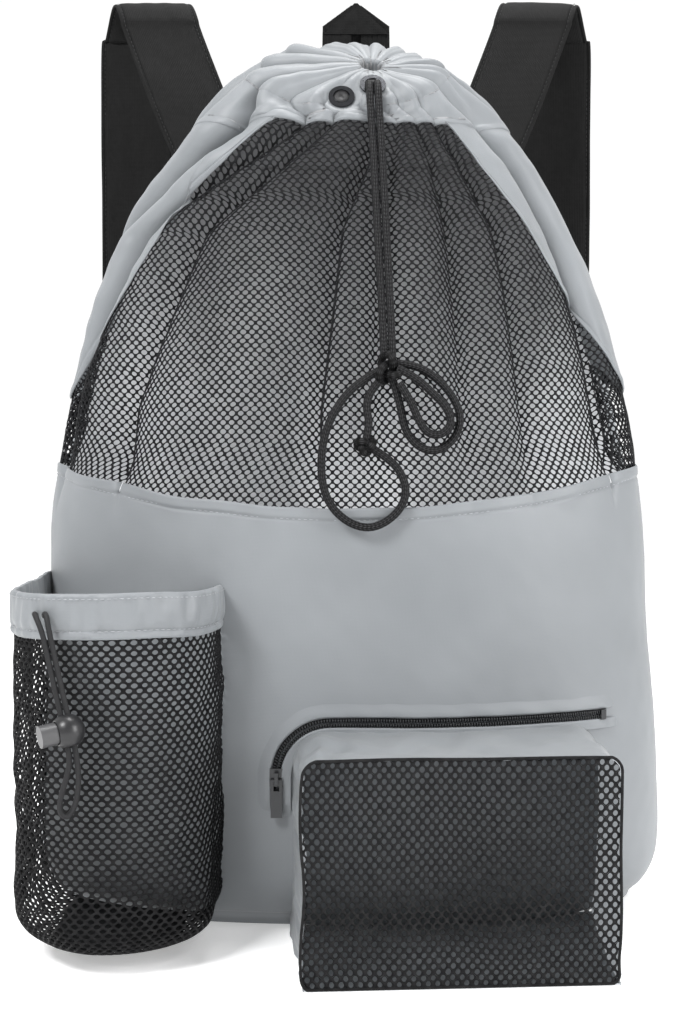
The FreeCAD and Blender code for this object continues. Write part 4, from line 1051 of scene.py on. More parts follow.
def build_mesh_panel():
    """The upper front: open mesh that follows the folds, from the lower seam to the grey strips."""
    pitch, row_step = 5.0 * MM, 2.5 * MM
    outline, oval = net_outline(pitch, row_step, (3.3 * MM, 2.75 * MM))
    front = np.linspace(178, 362, 1473)
    rows = np.arange(RINGS)
    ring = bilinear(FORM, rows[:, None].astype(float), front[None] * SPOKES / 360, True)
    around = travel(ring, 1)
    middle = np.argmin(np.abs(front - 272))
    around -= around[:, middle:middle + 1]
    profile = ring[:, middle - 60:middle + 60].mean(1)
    profile = travel(blur(profile[:, None], 4, False)[:, 0])
    flat_s = np.arange(-0.36, 0.36, 1 * MM)
    table = np.array([np.interp(flat_s, around[j], front, left=np.nan, right=np.nan) for j in rows])
    start = np.interp(SEAM_LOW - 10 * MM, LEVELS, profile)

    def look_up(flat):
        row = np.interp(flat[..., 1] + start, profile, rows)
        column = (flat[..., 0] - flat_s[0]) / (1 * MM)
        return row, bilinear(table, row, column, False)

    def place(flat, lift):
        row, angle = look_up(flat)
        column = np.nan_to_num(angle, nan=178.0) * SPOKES / 360
        normal = bilinear(FORM_NORMALS, row, column, True)
        return bilinear(FORM, row, column, True) + normal * lift[:, None]

    cells = net_cells(0.71, 0.24, pitch, row_step)
    row, angle = look_up(cells)
    level = np.interp(row, rows, LEVELS)
    safe = np.nan_to_num(angle, nan=180.0)
    inside = level > by_angle(SEAM_AT, safe) - 5 * MM
    inside &= level < by_angle(STRIP_AT, safe) + 3 * MM
    inside &= np.isfinite(angle) & (safe > 179.2) & (safe < 360.8) & (level < SEAM_LEVEL + 2 * MM)
    cells = cells[inside]
    halves = (("left", cells[:, 0] < 0, 1, ()), ("right", cells[:, 0] >= 0, 2, ("mesh_panel",)))
    for side, part, seed, nodes in halves:
        net = build_net("mesh_" + side, cells[part], outline, oval, place, 0.55 * MM, "mesh", seed)
        attach(net, "mesh_black", *nodes)


# ---- Bottle pocket -----------------------------------------------------------------------------
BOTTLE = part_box("bottle_pocket_mesh")
BOTTLE_RADIUS = (BOTTLE[1][0] - BOTTLE[0][0]) / 2
BOTTLE_X = (BOTTLE[0][0] + BOTTLE[1][0]) / 2
BOTTLE_Y = BOTTLE[0][1] + BOTTLE_RADIUS
BOTTLE_FLOOR = BOTTLE[0][2]
HEM_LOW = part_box("bottle_pocket_hem")[0][2]
FOOT_ROUND = 20 * MM
HALF_TURN = math.pi * BOTTLE_RADIUS


def bag_front(x, z):
    """Y of the bag's front surface at places across and up; z is below the leaning top."""
    x, z = np.broadcast_arrays(x, z)
    row = row_at(z)
    front = FORM[:, SPOKES // 2:SPOKES]
    out = np.empty(x.shape)
    low = row.astype(int)
    share = row - low
    for r in np.unique(low):
        here = low == r
        below, above = (np.interp(x[here], front[k, :, 0], front[k, :, 1])
                        for k in (r, min(r + 1, RINGS - 1)))
        out[here] = below * (1 - share[here]) + above * share[here]
    return out


def column_point(run, height_run, lift):
    """The sleeve's surface: run is the distance round it, height_run up from the hem's foot."""
    down = -height_run
    straight = HEM_LOW - BOTTLE_FLOOR - FOOT_ROUND
    bend = np.clip((down - straight) / FOOT_ROUND, 0, math.pi / 2)
    past = np.maximum(down - straight - FOOT_ROUND * math.pi / 2, 0)
    inset = FOOT_ROUND * (1 - np.cos(bend)) + past - lift * np.cos(bend)
    z = HEM_LOW - np.minimum(down, straight) - FOOT_ROUND * np.sin(bend) - lift * np.sin(bend)
    radius = BOTTLE_RADIUS - inset
    turn = np.clip(run / BOTTLE_RADIUS, -math.pi / 2, math.pi / 2)
    beyond = np.maximum(np.abs(run) - HALF_TURN / 2, 0)
    x = BOTTLE_X + radius * np.sin(turn)
    y = BOTTLE_Y - radius * np.cos(turn) + beyond
    point = np.stack([x, y, z], -1)
    slack = 0.9 * soft_noise(point * [1, 1, 0.6], 0.05, 31) + 0.35 * soft_noise(point, 0.02, 32)
    slack *= MM * smoothstep(-height_run / 0.03)
    way = np.stack([np.sin(turn), -np.cos(turn), np.zeros_like(turn)], -1)
    return point + way * (slack * np.cos(bend))[..., None]


def build_bottle_pocket():
    """Mesh sleeve with a rounded foot and grey hem, cut back where it meets the bag."""
    pitch, row_step = 5.6 * MM, 2.75 * MM
    outline, oval = net_outline(pitch, row_step, (3.4 * MM, 2.5 * MM))
    height = HEM_LOW - BOTTLE_FLOOR + 0.57 * FOOT_ROUND + 34 * MM
    cells = net_cells(0.46, height, pitch, row_step)
    cells[:, 1] -= height - 2 * MM
    place = lambda flat, lift: column_point(flat[:, 0], flat[:, 1], lift)
    spots = place(cells, np.zeros(len(cells)))
    under = cells[:, 1] < -(HEM_LOW - BOTTLE_FLOOR - FOOT_ROUND) - FOOT_ROUND * math.pi / 2
    depth = bag_front(spots[:, 0], np.maximum(spots[:, 2], 12 * MM)) - spots[:, 1]
    keep = (depth > -1.5 * MM) & (cells[:, 1] < 2.5 * MM)
    keep &= ~(under & (np.abs(cells[:, 0]) > HALF_TURN / 2 + 40 * MM))
    net = build_net("bottle_net", cells[keep], outline, oval, place, 0.6 * MM, "bottle_mesh", 7)
    attach(net, "mesh_bottle", "bottle_pocket_mesh")
    build_bottle_hem()
    build_pocket_floor()


def build_bottle_hem():
    """The sleeve's gathered grey hem, folded over its elastic and stitched along both edges."""
    run = np.linspace(-0.21, 0.21, 561)
    sag = (0.8 * np.sin(run * 31 + 1) + 0.5 * ripple(run * 700, 44, 16)) * MM
    rows = []
    profile = [(-1.5, 0.6), (-0.5, 1.3), (0.6, 1.5), (2.2, 1.3), (3.0, 0.7), (3.8, 1.2),
               (7, 1.9), (12, 2.0), (17, 1.9), (20.6, 1.7), (21.8, 1.0), (22.3, 0.0),
               (22.0, -1.2), (20, -1.6), (10, -1.8), (1, -1.8)]
    for up, out in profile:
        gather = 0.5 * ripple(run * 1200, 41, 9) * math.exp(-((up - 2.5) / 3.5) ** 2)
        crinkle = 0.35 * soft_noise(spread(run * 1.6, 0, up * MM * 0.7), 0.016, 43)
        lift = (out + gather + crinkle * (0.4 + 0.6 * (0 < up < 22))) * MM
        height_run = up * MM + sag
        point = column_point(run, np.minimum(height_run, 0), lift)
        point[:, 2] += np.maximum(height_run, 0)
        rows.append(point)
    grid = np.array(rows)
    fine = np.linspace(0, len(rows) - 1, 90)
    grid = blur(bilinear(grid, fine[:, None], np.arange(len(run), dtype=float), False), 2, False)
    front = bag_front(grid[..., 0], np.clip(grid[..., 2], 0.02, 0.4))
    grid[..., 1] -= np.maximum(grid[..., 1] - (front + 1.0 * MM), 0)
    grey_cloth("bottle_hem", grid, 0.5 * MM, "bottle_pocket_hem", "bottle_hem_elastic",
               inside="lining", uv=spread(run, fine[:, None] * 2.5 * MM))
    shown = np.abs(run) < 0.12
    for name, up, out in (("low", 2.9, 1.05), ("high", 19.6, 2.15)):
        point = column_point(run, run * 0, np.full(len(run), out * MM))
        point[:, 2] += up * MM + sag
        inner, outer = (column_point(run, run * 0, np.full(len(run), x * MM)) for x in (0, 5))
        row = stitches("hem_stitches_" + name, point[shown], unit(outer - inner)[shown], "thread")
        attach(row, "fabric_grey")


def build_pocket_floor():
    """The closed foot of the sleeve, inside the net's lowest turn."""
    run = np.linspace(-0.21, 0.21, 201)
    depth = HEM_LOW - BOTTLE_FLOOR - FOOT_ROUND + FOOT_ROUND * math.pi / 2
    edge = column_point(run, np.full(len(run), -depth), np.full(len(run), 0.0))
    edge[:, 2] = BOTTLE_FLOOR + 1.2 * MM
    middle = edge * [0, 1, 1]
    middle[:, 0] = BOTTLE_X
    middle[:, 1] = np.maximum(edge[:, 1], BOTTLE_Y)
    grid = np.array([edge * (1 - s) + middle * s for s in np.linspace(0, 1, 12)])
    front = bag_front(grid[..., 0], np.full(grid.shape[:2], 0.02))
    grid[..., 1] = np.minimum(grid[..., 1], front + 1 * MM)
    sheet("bottle_floor", grid, "bottle_mesh", 0.6 * MM, "mesh_bottle", uv=grid[..., :2])


# ---- Zip pocket --------------------------------------------------------------------------------
ZIP_LEFT, ZIP_RIGHT, ZIP_TOP, ZIP_CORNER = -35 * MM, 145 * MM, 119 * MM, 25 * MM
FACE_LEFT, FACE_RIGHT, FACE_TOP, FACE_CORNER = -24 * MM, 139 * MM, 118 * MM, 8 * MM
ROOT_Y = -60 * MM
COIL_OFFSET = 4.4 * MM


def face_y(x):
    """Y of the pocket's front, which faces a little to the right."""
    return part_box("zip_pocket_mesh")[0][1] + 10 * MM * (x - FACE_LEFT) / (FACE_RIGHT - FACE_LEFT)


def arch_outline(left, right, top, corner, count):
    """An outline from the lower left, up, over two round corners and down to the lower right."""
    turn = np.linspace(0, math.pi / 2, 16)
    x, z = 1 - np.cos(turn), 1 - np.sin(turn)
    rising = spread(left + corner * x, top - corner * z)
    falling = spread(right - corner * z, top - corner * x)
    line = np.concatenate([[[left, 0.0]], rising, falling, [[right, 0.0]]])
    length = travel(line)
    knots = length[[0, 1, 16, 17, 32, 33]]
    share = np.interp(np.linspace(0, 1, count), [0, 0.26, 0.32, 0.68, 0.74, 1], knots)
    return at_places(share, length, line)


def build_zip_pocket():
    """Grey gusset from the zip line to the front, and the mesh front with its turned edge."""
    count, depth_rows = 520, 150
    root = arch_outline(ZIP_LEFT, ZIP_RIGHT, ZIP_TOP, ZIP_CORNER, count)
    face = arch_outline(FACE_LEFT, FACE_RIGHT, FACE_TOP, FACE_CORNER, count)
    full_root = spread(root[:, 0], ROOT_Y, root[:, 1])
    aside, up = face_slack(face[:, 0], face[:, 1])
    full_face = spread(face[:, 0] + aside, face_y(face[:, 0]) + 0.3 * MM, face[:, 1] + up)
    shares = np.linspace(0, 1, 240)[:, None, None]
    ruled = full_root * (1 - shares) + full_face * shares
    cloth = bag_front(ruled[..., 0], np.clip(ruled[..., 2], 4 * MM, 0.4))
    inside = ruled[..., 1] > cloth + 0.8 * MM
    first = np.clip(inside.sum(0), 1, 238) / 239
    share = first[None] + (1 - first[None]) * np.linspace(0, 1, depth_rows)[:, None]
    grid = full_root * (1 - share[..., None]) + full_face * share[..., None]
    normals = -grid_normals(grid, False)
    run = travel(full_face)
    across = np.linspace(0, 1, depth_rows)[:, None]
    belly = np.sin(math.pi * across)
    crease = soft_noise(grid * [1.0, 0.45, 1.0], 0.03, 51)
    crease += 0.6 * soft_noise(grid * [0.7, 0.5, 1.3], 0.014, 52)
    corner = bell(grid[..., 0] - FACE_LEFT, 0.035)
    lift = (0.55 + 0.9 * corner) * MM * crease * belly ** 0.6
    lift -= 1.4 * MM * belly * (0.5 + 0.5 * corner)
    gather = 0.4 * MM * ripple(run * 900, 53, 6) * bell(1 - across, 0.08)
    hem = 0.5 * MM * bell(across, 0.1)
    grid = grid + normals * (lift + gather + hem)[..., None]
    grid[..., 2] = np.maximum(grid[..., 2], 0.6 * MM)
    grey_cloth("zip_gusset", grid[::-1], 0.6 * MM, "zip_pocket_gusset", "zip_pocket_top",
               inside="pocket_inside", uv=spread(run, across * 0.075))

    foot_run = np.linspace(0, 1, 60)[None, :, None]
    foot = grid[:, :1] * (1 - foot_run) + grid[:, -1:] * foot_run
    foot[..., 2] = 0.7 * MM
    sheet("zip_foot", foot, "pocket_inside", 0.5 * MM, "fabric_grey", inside="fabric",
          uv=foot[..., :2])

    pitch, row_step = 4.9 * MM, 2.95 * MM
    outline, oval = net_outline(pitch, row_step, (2.55 * MM, 3.0 * MM))
    cells = net_cells(FACE_RIGHT - FACE_LEFT + 8 * MM, FACE_TOP + 4 * MM, pitch, row_step)
    middle = (FACE_LEFT + FACE_RIGHT) / 2

    def place(flat, lift):
        x, z = flat[:, 0] + middle, flat[:, 1]
        edge = np.minimum.reduce([x - FACE_LEFT, FACE_RIGHT - x, FACE_TOP - z, z + 6 * MM])
        give = smoothstep(edge / 0.03)
        wavy = 1.8 * MM * soft_noise(spread(x * 1.2, 0, z * 0.6), 0.07, 61) * give
        z = np.clip(z, 0.8 * MM, FACE_TOP - 0.2 * MM)
        inset = face_inset(z) + 0.2 * MM
        x = np.clip(x, FACE_LEFT + inset, FACE_RIGHT - inset)
        aside, up = face_slack(x, z)
        x, z = x + aside, z + up
        return spread(x, face_y(x) + 1.0 * MM + wavy - lift - 1.6 * MM * give, z)

    net = build_net("zip_net", cells, outline, oval, place, 0.55 * MM, "zip_mesh", 9)
    attach(net, "mesh_zip", "zip_pocket_mesh")
    build_face_edge(full_face)


def face_slack(x, z):
    """Small sideways and upward wander of the mesh front's outline, none where it stands."""
    spot = spread(x, 0, z)
    free = smoothstep(z / 0.02)
    aside, up = 0.7 * soft_noise(spot, 0.08, 71), 0.35 * soft_noise(spot, 0.09, 72)
    return aside * MM * free, up * MM * free


def face_inset(z):
    """How far the mesh front's rounded corners stand in from its straight sides."""
    low, high = 7 * MM, FACE_CORNER
    foot = low - np.sqrt(low ** 2 - np.clip(low - z, 0, low) ** 2)
    top = high - np.sqrt(high ** 2 - np.clip(z - FACE_TOP + high, 0, high) ** 2)
    return foot + top


def build_face_edge(edge):
    """The bound edge round the mesh front: a narrow dark band, with its lower run."""
    lower = spread(np.linspace(FACE_RIGHT, FACE_LEFT, 120), 0, 0.8 * MM)
    lower[:, 1] = face_y(lower[:, 0]) + 0.3 * MM
    line = np.concatenate([edge, lower[1:-1]])
    line[:, 2] = np.clip(line[:, 2], 1.2 * MM, FACE_TOP - 0.4 * MM)
    inset = face_inset(line[:, 2])
    line[:, 0] = np.clip(line[:, 0], FACE_LEFT + inset, FACE_RIGHT - inset)
    aside, up = face_slack(line[:, 0], line[:, 2])
    line = line + spread(aside, 0, up)
    line = resample(np.concatenate([line, line[:1]]), 0.9 * MM)[:-1]
    band = tube("face_binding", line, 0.55 * MM, 10, "zip_mesh",
                lambda d, t: 0.12 * MM * np.sin(d / (1.3 * MM) * math.pi) * np.cos(t) ** 2,
                (0, 1, 0), squeeze=(0.8, 1.5), closed=True)
    attach(band, "mesh_zip")


def zip_path(offset, low=84 * MM, right=148 * MM):
    """Places along the zip line in XZ at an offset outwards, on the bag's surface."""
    left, top = ZIP_LEFT - COIL_OFFSET - offset, ZIP_TOP + COIL_OFFSET + offset
    radius = ZIP_CORNER + COIL_OFFSET + offset
    turn = np.linspace(0, math.pi / 2, 60)
    x = np.concatenate([[left], left + radius - radius * np.cos(turn), [right]])
    z = np.concatenate([[low], top - radius + radius * np.sin(turn), [top]])
    line = resample(spread(x, 0, z), 0.5 * MM)
    line[:, 1] = smooth_front(line[:, 0], line[:, 2])
    return line


def smooth_front(x, z):
    """The bag's front without the small slack, so that the stiff zip lies even."""
    steps = np.linspace(-6, 6, 5) * MM
    return np.mean([bag_front(x + a, z + b) for a in steps for b in steps], axis=0)


def front_normals(line):
    """Outward normals of the bag's smoothed front at places on it."""
    step = 3 * MM
    x, _, z = line.T
    slope_x = smooth_front(x + step, z) - smooth_front(x - step, z)
    slope_z = smooth_front(x, z + step) - smooth_front(x, z - step)
    return unit(spread(slope_x, -2 * step, slope_z))


def offset_band(inner, outer, lifts, columns, **facts):
    """A ribbon of points along the zip line between two offsets, lifted per column."""
    offsets = np.linspace(inner, outer, columns)
    count = len(zip_path((inner + outer) / 2, **facts))
    rows = []
    for k, offset in enumerate(offsets):
        line = zip_path(offset, **facts)
        share = np.linspace(0, len(line) - 1, count)
        line = at_places(share, np.arange(len(line)), line)
        rows.append(line + front_normals(line) * lifts(k / (columns - 1), travel(line))[:, None])
    return np.array(rows)


def build_zipper():
    """Tapes, coil teeth and the folded cloth edges beside them."""
    tapes = (("bag", 0.5, 7.5, "zip_tape_bag"), ("pocket", -7.0, -0.5, "zip_tape_pocket"))
    for side, inner, outer, cad in tapes:
        grid = offset_band(inner * MM, outer * MM, lambda t, d: np.full(len(d), 1.3 * MM), 7)
        uv = spread(np.arange(grid.shape[1]) * 0.5 * MM, np.linspace(0, 7, 7)[:, None] * MM)
        sheet("tape_" + side, grid, "tape", 0.5 * MM, "zip_tape", cad, uv=uv)
    centre = zip_path(0, low=88 * MM, right=144.5 * MM)
    normals = front_normals(centre)
    distance = travel(centre)
    ahead = unit(np.gradient(centre, axis=0))
    pitch = 1.5 * MM
    points, faces = [], []
    turn = np.linspace(-0.25, 1.25, 9) * math.pi
    for k in range(int(distance[-1] / pitch)):
        for side in (-1, 1):
            at = (k + (0.25 if side > 0 else 0.75)) * pitch
            core, up, along = (at_places(at, distance, a) for a in (centre, normals, ahead))
            out = np.cross(along, up) * side
            loop = (core + out[None] * (0.3 * MM + 1.0 * MM * (1 - np.cos(turn)) * 0.95)[:, None]
                    + up[None] * (1.9 * MM + 0.62 * MM * np.sin(turn))[:, None]
                    + along[None] * (0.12 * MM * np.cos(turn) * side)[:, None])
            _, first, second = line_frames(loop, along)
            ring_turn = np.arange(6) * TURN / 6
            radius = 0.40 * MM
            ring = (loop[:, None] + first[:, None] * (radius * np.cos(ring_turn))[None, :, None]
                    + second[:, None] * (radius * np.sin(ring_turn))[None, :, None])
            base = len(points) * len(loop) * 6
            points.append(ring.reshape(-1, 3))
            faces.append(grid_faces(len(loop), 6, True)[:, ::-1] + base)
    coil = add_mesh("zip_coil", np.concatenate(points), np.concatenate(faces), materials["nylon"])
    attach(coil, "zip_nylon", "zip_chain")
    build_zip_flaps()


def build_zip_flaps():
    """The folded cloth edges beside the coil, that run out into the bag at their ends."""
    for side, inner, outer in (("outer", 2.6, 16.0), ("inner", -2.6, -8.0)):
        outside = side == "outer"

        def lift(t, d):
            wave = (0.22 * np.sin(d / (9 * MM)) + 0.15 * np.sin(d / (3.7 * MM) + 1)) * MM
            body = 2.5 * MM if not outside else (2.5 - 1.6 * smoothstep(t / 0.85)) * MM
            return body - 1.3 * MM * bell(t, 0.045) + wave * (1 - t)

        grid = offset_band(inner * MM, outer * MM, lift, 30, low=72 * MM, right=154 * MM)
        along = travel(grid[0])[None]
        ends = smoothstep(along / (9 * MM)) * smoothstep((along.max() - along) / (9 * MM))
        shown = 1 - smoothstep(np.linspace(-0.25, 1, 30))[:, None] if outside else 1.0
        cloth = bag_front(grid[..., 0], np.clip(grid[..., 2], 0.02, 0.4)) - 0.5 * MM
        grid[..., 1] = cloth + (grid[..., 1] - cloth) * ends * shown
        uv = spread(np.arange(grid.shape[1]) * 0.5 * MM, np.linspace(0, 14, 30)[:, None] * MM)
        grey_cloth("zip_flap_" + side, grid, 0.5 * MM, uv=uv)


# ---- Straps, webbing and hang loop -------------------------------------------------------------
STRAP_X = {"left": -1, "right": 1}
STRAP_WIDTH, WEB_WIDTH = 54 * MM, 25 * MM


def smooth_path(points, step):
    """An evenly spaced smooth line through given points (Catmull-Rom)."""
    p = np.asarray(points, float)
    p = np.concatenate([[2 * p[0] - p[1]], p, [2 * p[-1] - p[-2]]])
    t = np.linspace(0, 1, 24, endpoint=False)[:, None]
    pieces = []
    for a, b, c, d in zip(p[:-3], p[1:-2], p[2:-1], p[3:]):
        pieces.append(0.5 * (2 * b + (c - a) * t + (2 * a - 5 * b + 4 * c - d) * t ** 2
                             + (3 * b - a - 3 * c + d) * t ** 3))
    return resample(np.concatenate(pieces + [p[-2:-1]]), step)


def webbing(name, line, width, thick, material, belly=0.0, edge=0.0, weave=0.0, seed=0, columns=49):
    """A closed flat band along a line, its side and upward directions; belly pads its middle."""
    ahead = unit(np.gradient(line, axis=0))
    side = np.broadcast_to([1.0, 0.0, 0.0], ahead.shape)
    up = unit(np.cross(side, ahead))
    across = np.sin(np.linspace(-1, 1, columns) * math.pi / 2)
    half = thick / 2
    distance = travel(line)[:, None]
    shape = np.sqrt(np.clip(1 - np.abs(across) ** 18, 0, 1))
    swell = belly * np.clip(1 - np.abs(across / 0.9) ** 4, 0, 1)
    ridge = -edge * bell(np.abs(across) - 0.89, 0.03)
    rib = weave * np.sin(across[None] * width / (1.7 * MM) * math.pi)
    wander = 0.0
    if seed:
        field = spread(across * width, distance, 0)
        wander = 0.4 * MM * soft_noise(field * [0.5, 1, 1], 0.09, seed)
        wander += 0.12 * MM * soft_noise(field, 0.03, seed + 1)
    top = half * shape + swell + ridge + rib + 0 * distance
    middle = line[:, None] + side[:, None] * (across * width / 2)[None, :, None]
    upper = middle + up[:, None] * (top + wander)[..., None]
    lower = middle + up[:, None] * (wander - top)[..., None]
    loop = np.concatenate([upper, lower[:, ::-1]], axis=1)
    rows, around = loop.shape[:2]
    faces = grid_faces(rows, around, True)[:, ::-1].tolist()
    faces += [list(range(around)), list(range(rows * around - 1, rows * around - around - 1, -1))]
    u = np.concatenate([across, across[::-1]]) * width / 2
    uv = spread(u, distance)
    return add_mesh(name, loop, faces, materials[material], uv), side, up


def strap_path(sign):
    """The strap's line: up off the patch, over the crest behind and down to the ladder lock."""
    crest_x, crest_y, crest_z, radius = 126 * MM, 122 * MM, 562 * MM, 27 * MM
    rear_x, rear_y = 151 * MM, 149 * MM
    seat = [back_y(0.051, z) + 3.7 * MM for z in (0.424, 0.45)]
    points = [(78 * MM, seat[0], 0.424), (81 * MM, seat[1] + 0.4 * MM, 0.45),
              (104.4 * MM, (seat[1] + crest_y - radius) / 2, 0.506)]
    for i in range(9):
        turn = math.pi * i / 8
        points.append((crest_x + (rear_x - crest_x) * i / 8, crest_y - radius * math.cos(turn),
                       crest_z + radius * math.sin(turn)))
    points += [(rear_x, rear_y, 0.446), (rear_x, rear_y, 0.35)]
    bend, corner = np.array([rear_x, rear_y, 0.33]), np.array([rear_x, 0.08, 0.03])
    down = (corner - bend) / np.linalg.norm(corner - bend)
    for along in (5.3 * MM, 45 * MM, 88 * MM):
        points.append(tuple(bend + down * along))
    line = smooth_path(np.array(points), 1.6 * MM)
    line[:, 0] *= sign
    return line, bend * [sign, 1, 1], down * [sign, 1, 1]


def back_y(x, z):
    """Y of the bag's back surface at places across one height."""
    ring = bilinear(FORM, row_at(z), np.arange(SPOKES // 2, dtype=float), True)
    return np.interp(x, ring[::-1, 0], ring[::-1, 1])


def edge_stitches(name, line, side, up, offset, rise):
    """Two rows of stitches along a band's edges, on its upper face."""
    for row, sign in (("a", -1), ("b", 1)):
        place = line + side * (offset * sign) + up * rise
        attach(stitches(name + "_" + row, place, up, "black_thread"), "webbing_black")


def build_straps():
    """Padded straps, the patch they are sewn to, ladder locks, lower webbings and corner tabs."""
    for name, sign in STRAP_X.items():
        line, bend, down = strap_path(sign)
        strap, side, up = webbing("strap_" + name, line, STRAP_WIDTH, 2.2 * MM, "strap",
                                  belly=0.6 * MM, edge=0.75 * MM, seed=70 + 3 * sign, columns=71)
        attach(strap, "webbing_black", "shoulder_strap_" + name)
        edge_stitches("strap_stitches_" + name, line, side, up, STRAP_WIDTH * 0.445, 1.0 * MM)
        edge_stitches("strap_inner_stitches_" + name, line, side, up, -STRAP_WIDTH * 0.445,
                      -1.0 * MM)
        start = bend + down * 96 * MM
        points = [start + down * 2 * MM]
        whole = bend + down * 327 * MM
        for share in np.linspace(0.06, 1, 8):
            points.append(start * (1 - share) + (whole - down * 12 * MM) * share)
        web_line = smooth_path(np.array(points), 1.2 * MM)
        web = webbing("webbing_" + name, web_line, WEB_WIDTH, 1.5 * MM, "webbing",
                      weave=0.12 * MM, seed=80 + sign)[0]
        attach(web, "webbing_black", "lower_webbing_" + name)
        build_corner_tab(name)
        dress("ladder_lock_" + name, "plastic", 0.5 * MM)
    build_patch()


def build_corner_tab(name):
    """A folded loop of webbing sewn into the side seam, that holds the lower webbing."""
    box = np.array(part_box("corner_tab_" + name))
    middle = box.mean(0)
    size = box[1] - box[0]
    points = [(middle[0], box[0][1] + 0.25 * MM, box[0][2] + size[2] * 0.12),
              (middle[0], middle[1] * 0.6 + box[0][1] * 0.4, box[0][2] + size[2] * 0.45),
              (middle[0], box[1][1] - 1.2 * MM, box[1][2] - size[2] * 0.06)]
    line = smooth_path(np.array(points), 1.0 * MM)
    tab = webbing("tab_" + name, line, min(size[0], 30 * MM), 2.0 * MM, "webbing",
                  weave=0.12 * MM)[0]
    attach(tab, "webbing_black", "corner_tab_" + name)


def build_patch():
    """Reinforcing patch across the upper back, stitched along its top and bottom, that carries both
    strap ends.
    """
    foot, head = PATCH_Z
    x = np.linspace(-98, 98, 240) * MM
    grid = np.array([spread(x, back_y(x, z), z) for z in np.linspace(foot, head, 40) * MM])
    grid[..., 1] = blur(grid[..., 1], 6, False) + 3.0 * MM
    sheet("strap_patch", grid[::-1], "webbing", 1.4 * MM, "webbing_black", "strap_anchor_patch",
          uv=grid[::-1][..., [0, 2]])
    for row, height in (("low", foot + 3), ("high", head - 3)):
        line = grid[int((height - foot) / (head - foot) * 39)]
        normal = np.broadcast_to([0.0, 1.0, 0.0], line.shape)
        seam = stitches("patch_stitches_" + row, line + normal * 0.1 * MM, normal, "black_thread")
        attach(seam, "webbing_black")


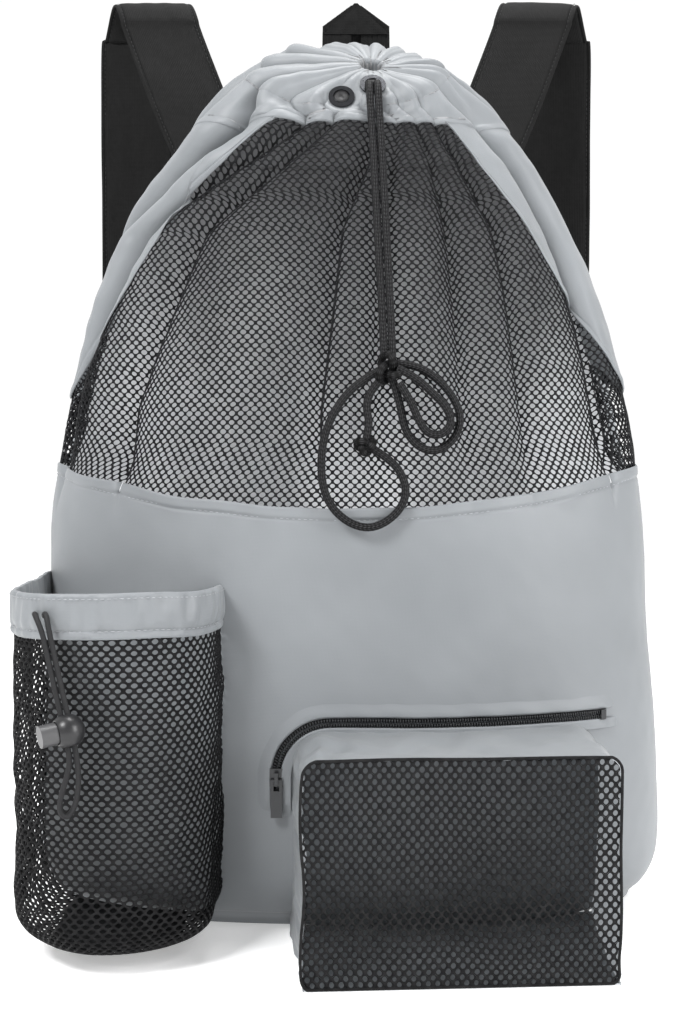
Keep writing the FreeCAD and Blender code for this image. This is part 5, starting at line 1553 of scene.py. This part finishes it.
def build_hang_loop():
    """One webbing folded over to a point: two legs side by side and the mitred fold of both."""
    web, slit, leg, peak, thick = 19 * MM, 8 * MM, 74 * MM, 15 * MM, 2.4 * MM
    foot_z, lean = 478 * MM, math.radians(14)
    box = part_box("hang_loop")
    foot = np.array([LOOP_X, box[1][1] - thick / 2 * math.cos(lean), foot_z])
    up = np.array([0, -math.sin(lean), math.cos(lean)])
    out = np.array([0, math.cos(lean), math.sin(lean)])
    half = slit / 2 + web

    def place(x, z, lift):
        x, z, lift = (np.atleast_1d(v)[:, None] for v in (x, z, lift))
        return foot + x * [1, 0, 0] + z * up + lift * out

    for name, sign in (("left", -1), ("right", 1)):
        u = np.linspace(0, 1, 61)
        rows = []
        for share in np.concatenate([np.linspace(0, 0.8, 60), np.linspace(0.805, 1, 40)]):
            inner = slit / 2 - 1 * MM * share
            outer = half - 1.5 * MM * share
            x = inner + (outer - inner) * u
            top = leg + peak * (1 - x / (half - 1.5 * MM)) if share > 0 else leg
            top = np.minimum(top, leg + peak - 2 * MM)
            z = share * top
            rib = 0.14 * MM * np.sin(u * web / (1.55 * MM) * TURN / 2)
            bow = 0.5 * MM * np.sin(math.pi * share) * sign
            step = 0.7 * MM * share if sign > 0 else 0
            lift = rib + bow - 0.5 * MM * bell(share - 1, 0.03) + step
            rows.append(place(sign * x, z, lift - thick * 0.05))
        grid = np.array(rows)
        if sign < 0:
            grid = grid[:, ::-1]
        uv = spread(u * web, np.linspace(0, leg, len(rows))[:, None])
        sheet("loop_leg_" + name, grid, "webbing", 1.3 * MM, "webbing_black",
              *(["hang_loop"] if sign > 0 else []), uv=uv, offset=0)
    u = np.linspace(-1, 1, 9)
    grid = np.array([place(u * (slit / 2 + 2 * MM), share * leg,
                           0.4 * MM + 5 * MM * math.sin(math.pi * share))
                     for share in np.linspace(0.02, 1, 40)])
    sheet("loop_inside", grid, "strap", 0.6 * MM, "webbing_black", uv=grid[..., [0, 2]])
    u = np.linspace(-1, 1, 81)
    rows = []
    for share in np.linspace(0, 1, 50):
        reach = (half - 1.8 * MM) * (1 - share) + 1.0 * MM * share
        x = u * reach
        z = leg - 5 * MM + (peak + 4.2 * MM) * share
        rib = 0.14 * MM * np.sin((x * 0.7 + z * np.sign(x) * 0.7) / (1.1 * MM))
        lift = -1.5 * MM + 0.5 * MM * share + rib
        rows.append(place(x, z, lift))
    grid = np.array(rows)
    sheet("loop_fold", grid, "webbing", 1.2 * MM, "webbing_black", uv=grid[..., [0, 2]])


# ---- Hardware ----------------------------------------------------------------------------------
def dress(name, material, worn=0.0):
    """Give a CAD piece that is shown as it is its finish."""
    thing = frame["nodes"][name]
    thing.data.materials.clear()
    thing.data.materials.append(materials[material])
    if worn:
        edge = thing.modifiers.new("worn edges", "BEVEL")
        edge.width, edge.segments = worn, 2
        edge.limit_method, edge.angle_limit = "ANGLE", math.radians(40)
        edge.harden_normals = True


def painted_eyelet_shade(side, eyelet):
    """A black disc inside an eyelet, seen past the cord: painted shade for the dark hole."""
    middle, axis, across, reach = eyelet
    turn = np.linspace(0, TURN, 49)[:-1]
    ring = np.outer(np.cos(turn), across[0]) + np.outer(np.sin(turn), across[1])
    disc = np.array([middle + ring * reach * share - axis * (0.6 * MM + 0.3 * MM * (1 - share))
                     for share in (1.02, 0.6, 0.02)])
    # painted shade: a black disc over the cloth inside the eyelet's ring
    sheet("eyelet_shade_disc_" + side, disc, "black_thread", 0.1 * MM, "gunmetal", wrap=True)


def build_hardware():
    """Eyelets, cord lock, zip slider and pull."""
    for side, eyelet in zip(("right", "left"), EYELETS):
        painted_eyelet_shade(side, eyelet)
        dress("eyelet_" + side, "gunmetal")
        dress("eyelet_washer_" + side, "gunmetal")
    dress("cord_lock_body", "plastic")
    dress("cord_lock_plunger", "plunger")
    for name in ("zip_stop_lower", "zip_stop_upper", "zip_slider", "zip_pull"):
        dress(name, "zip_metal", 0.3 * MM)


# ---- Assembly ----------------------------------------------------------------------------------
build_camera()
build_studio()
build_cords()
build_lower_panel()
build_back_and_strips()
build_base()
build_channel()
build_mesh_panel()
build_bottle_pocket()
build_zip_pocket()
build_zipper()
build_straps()
build_hang_loop()
build_hardware()
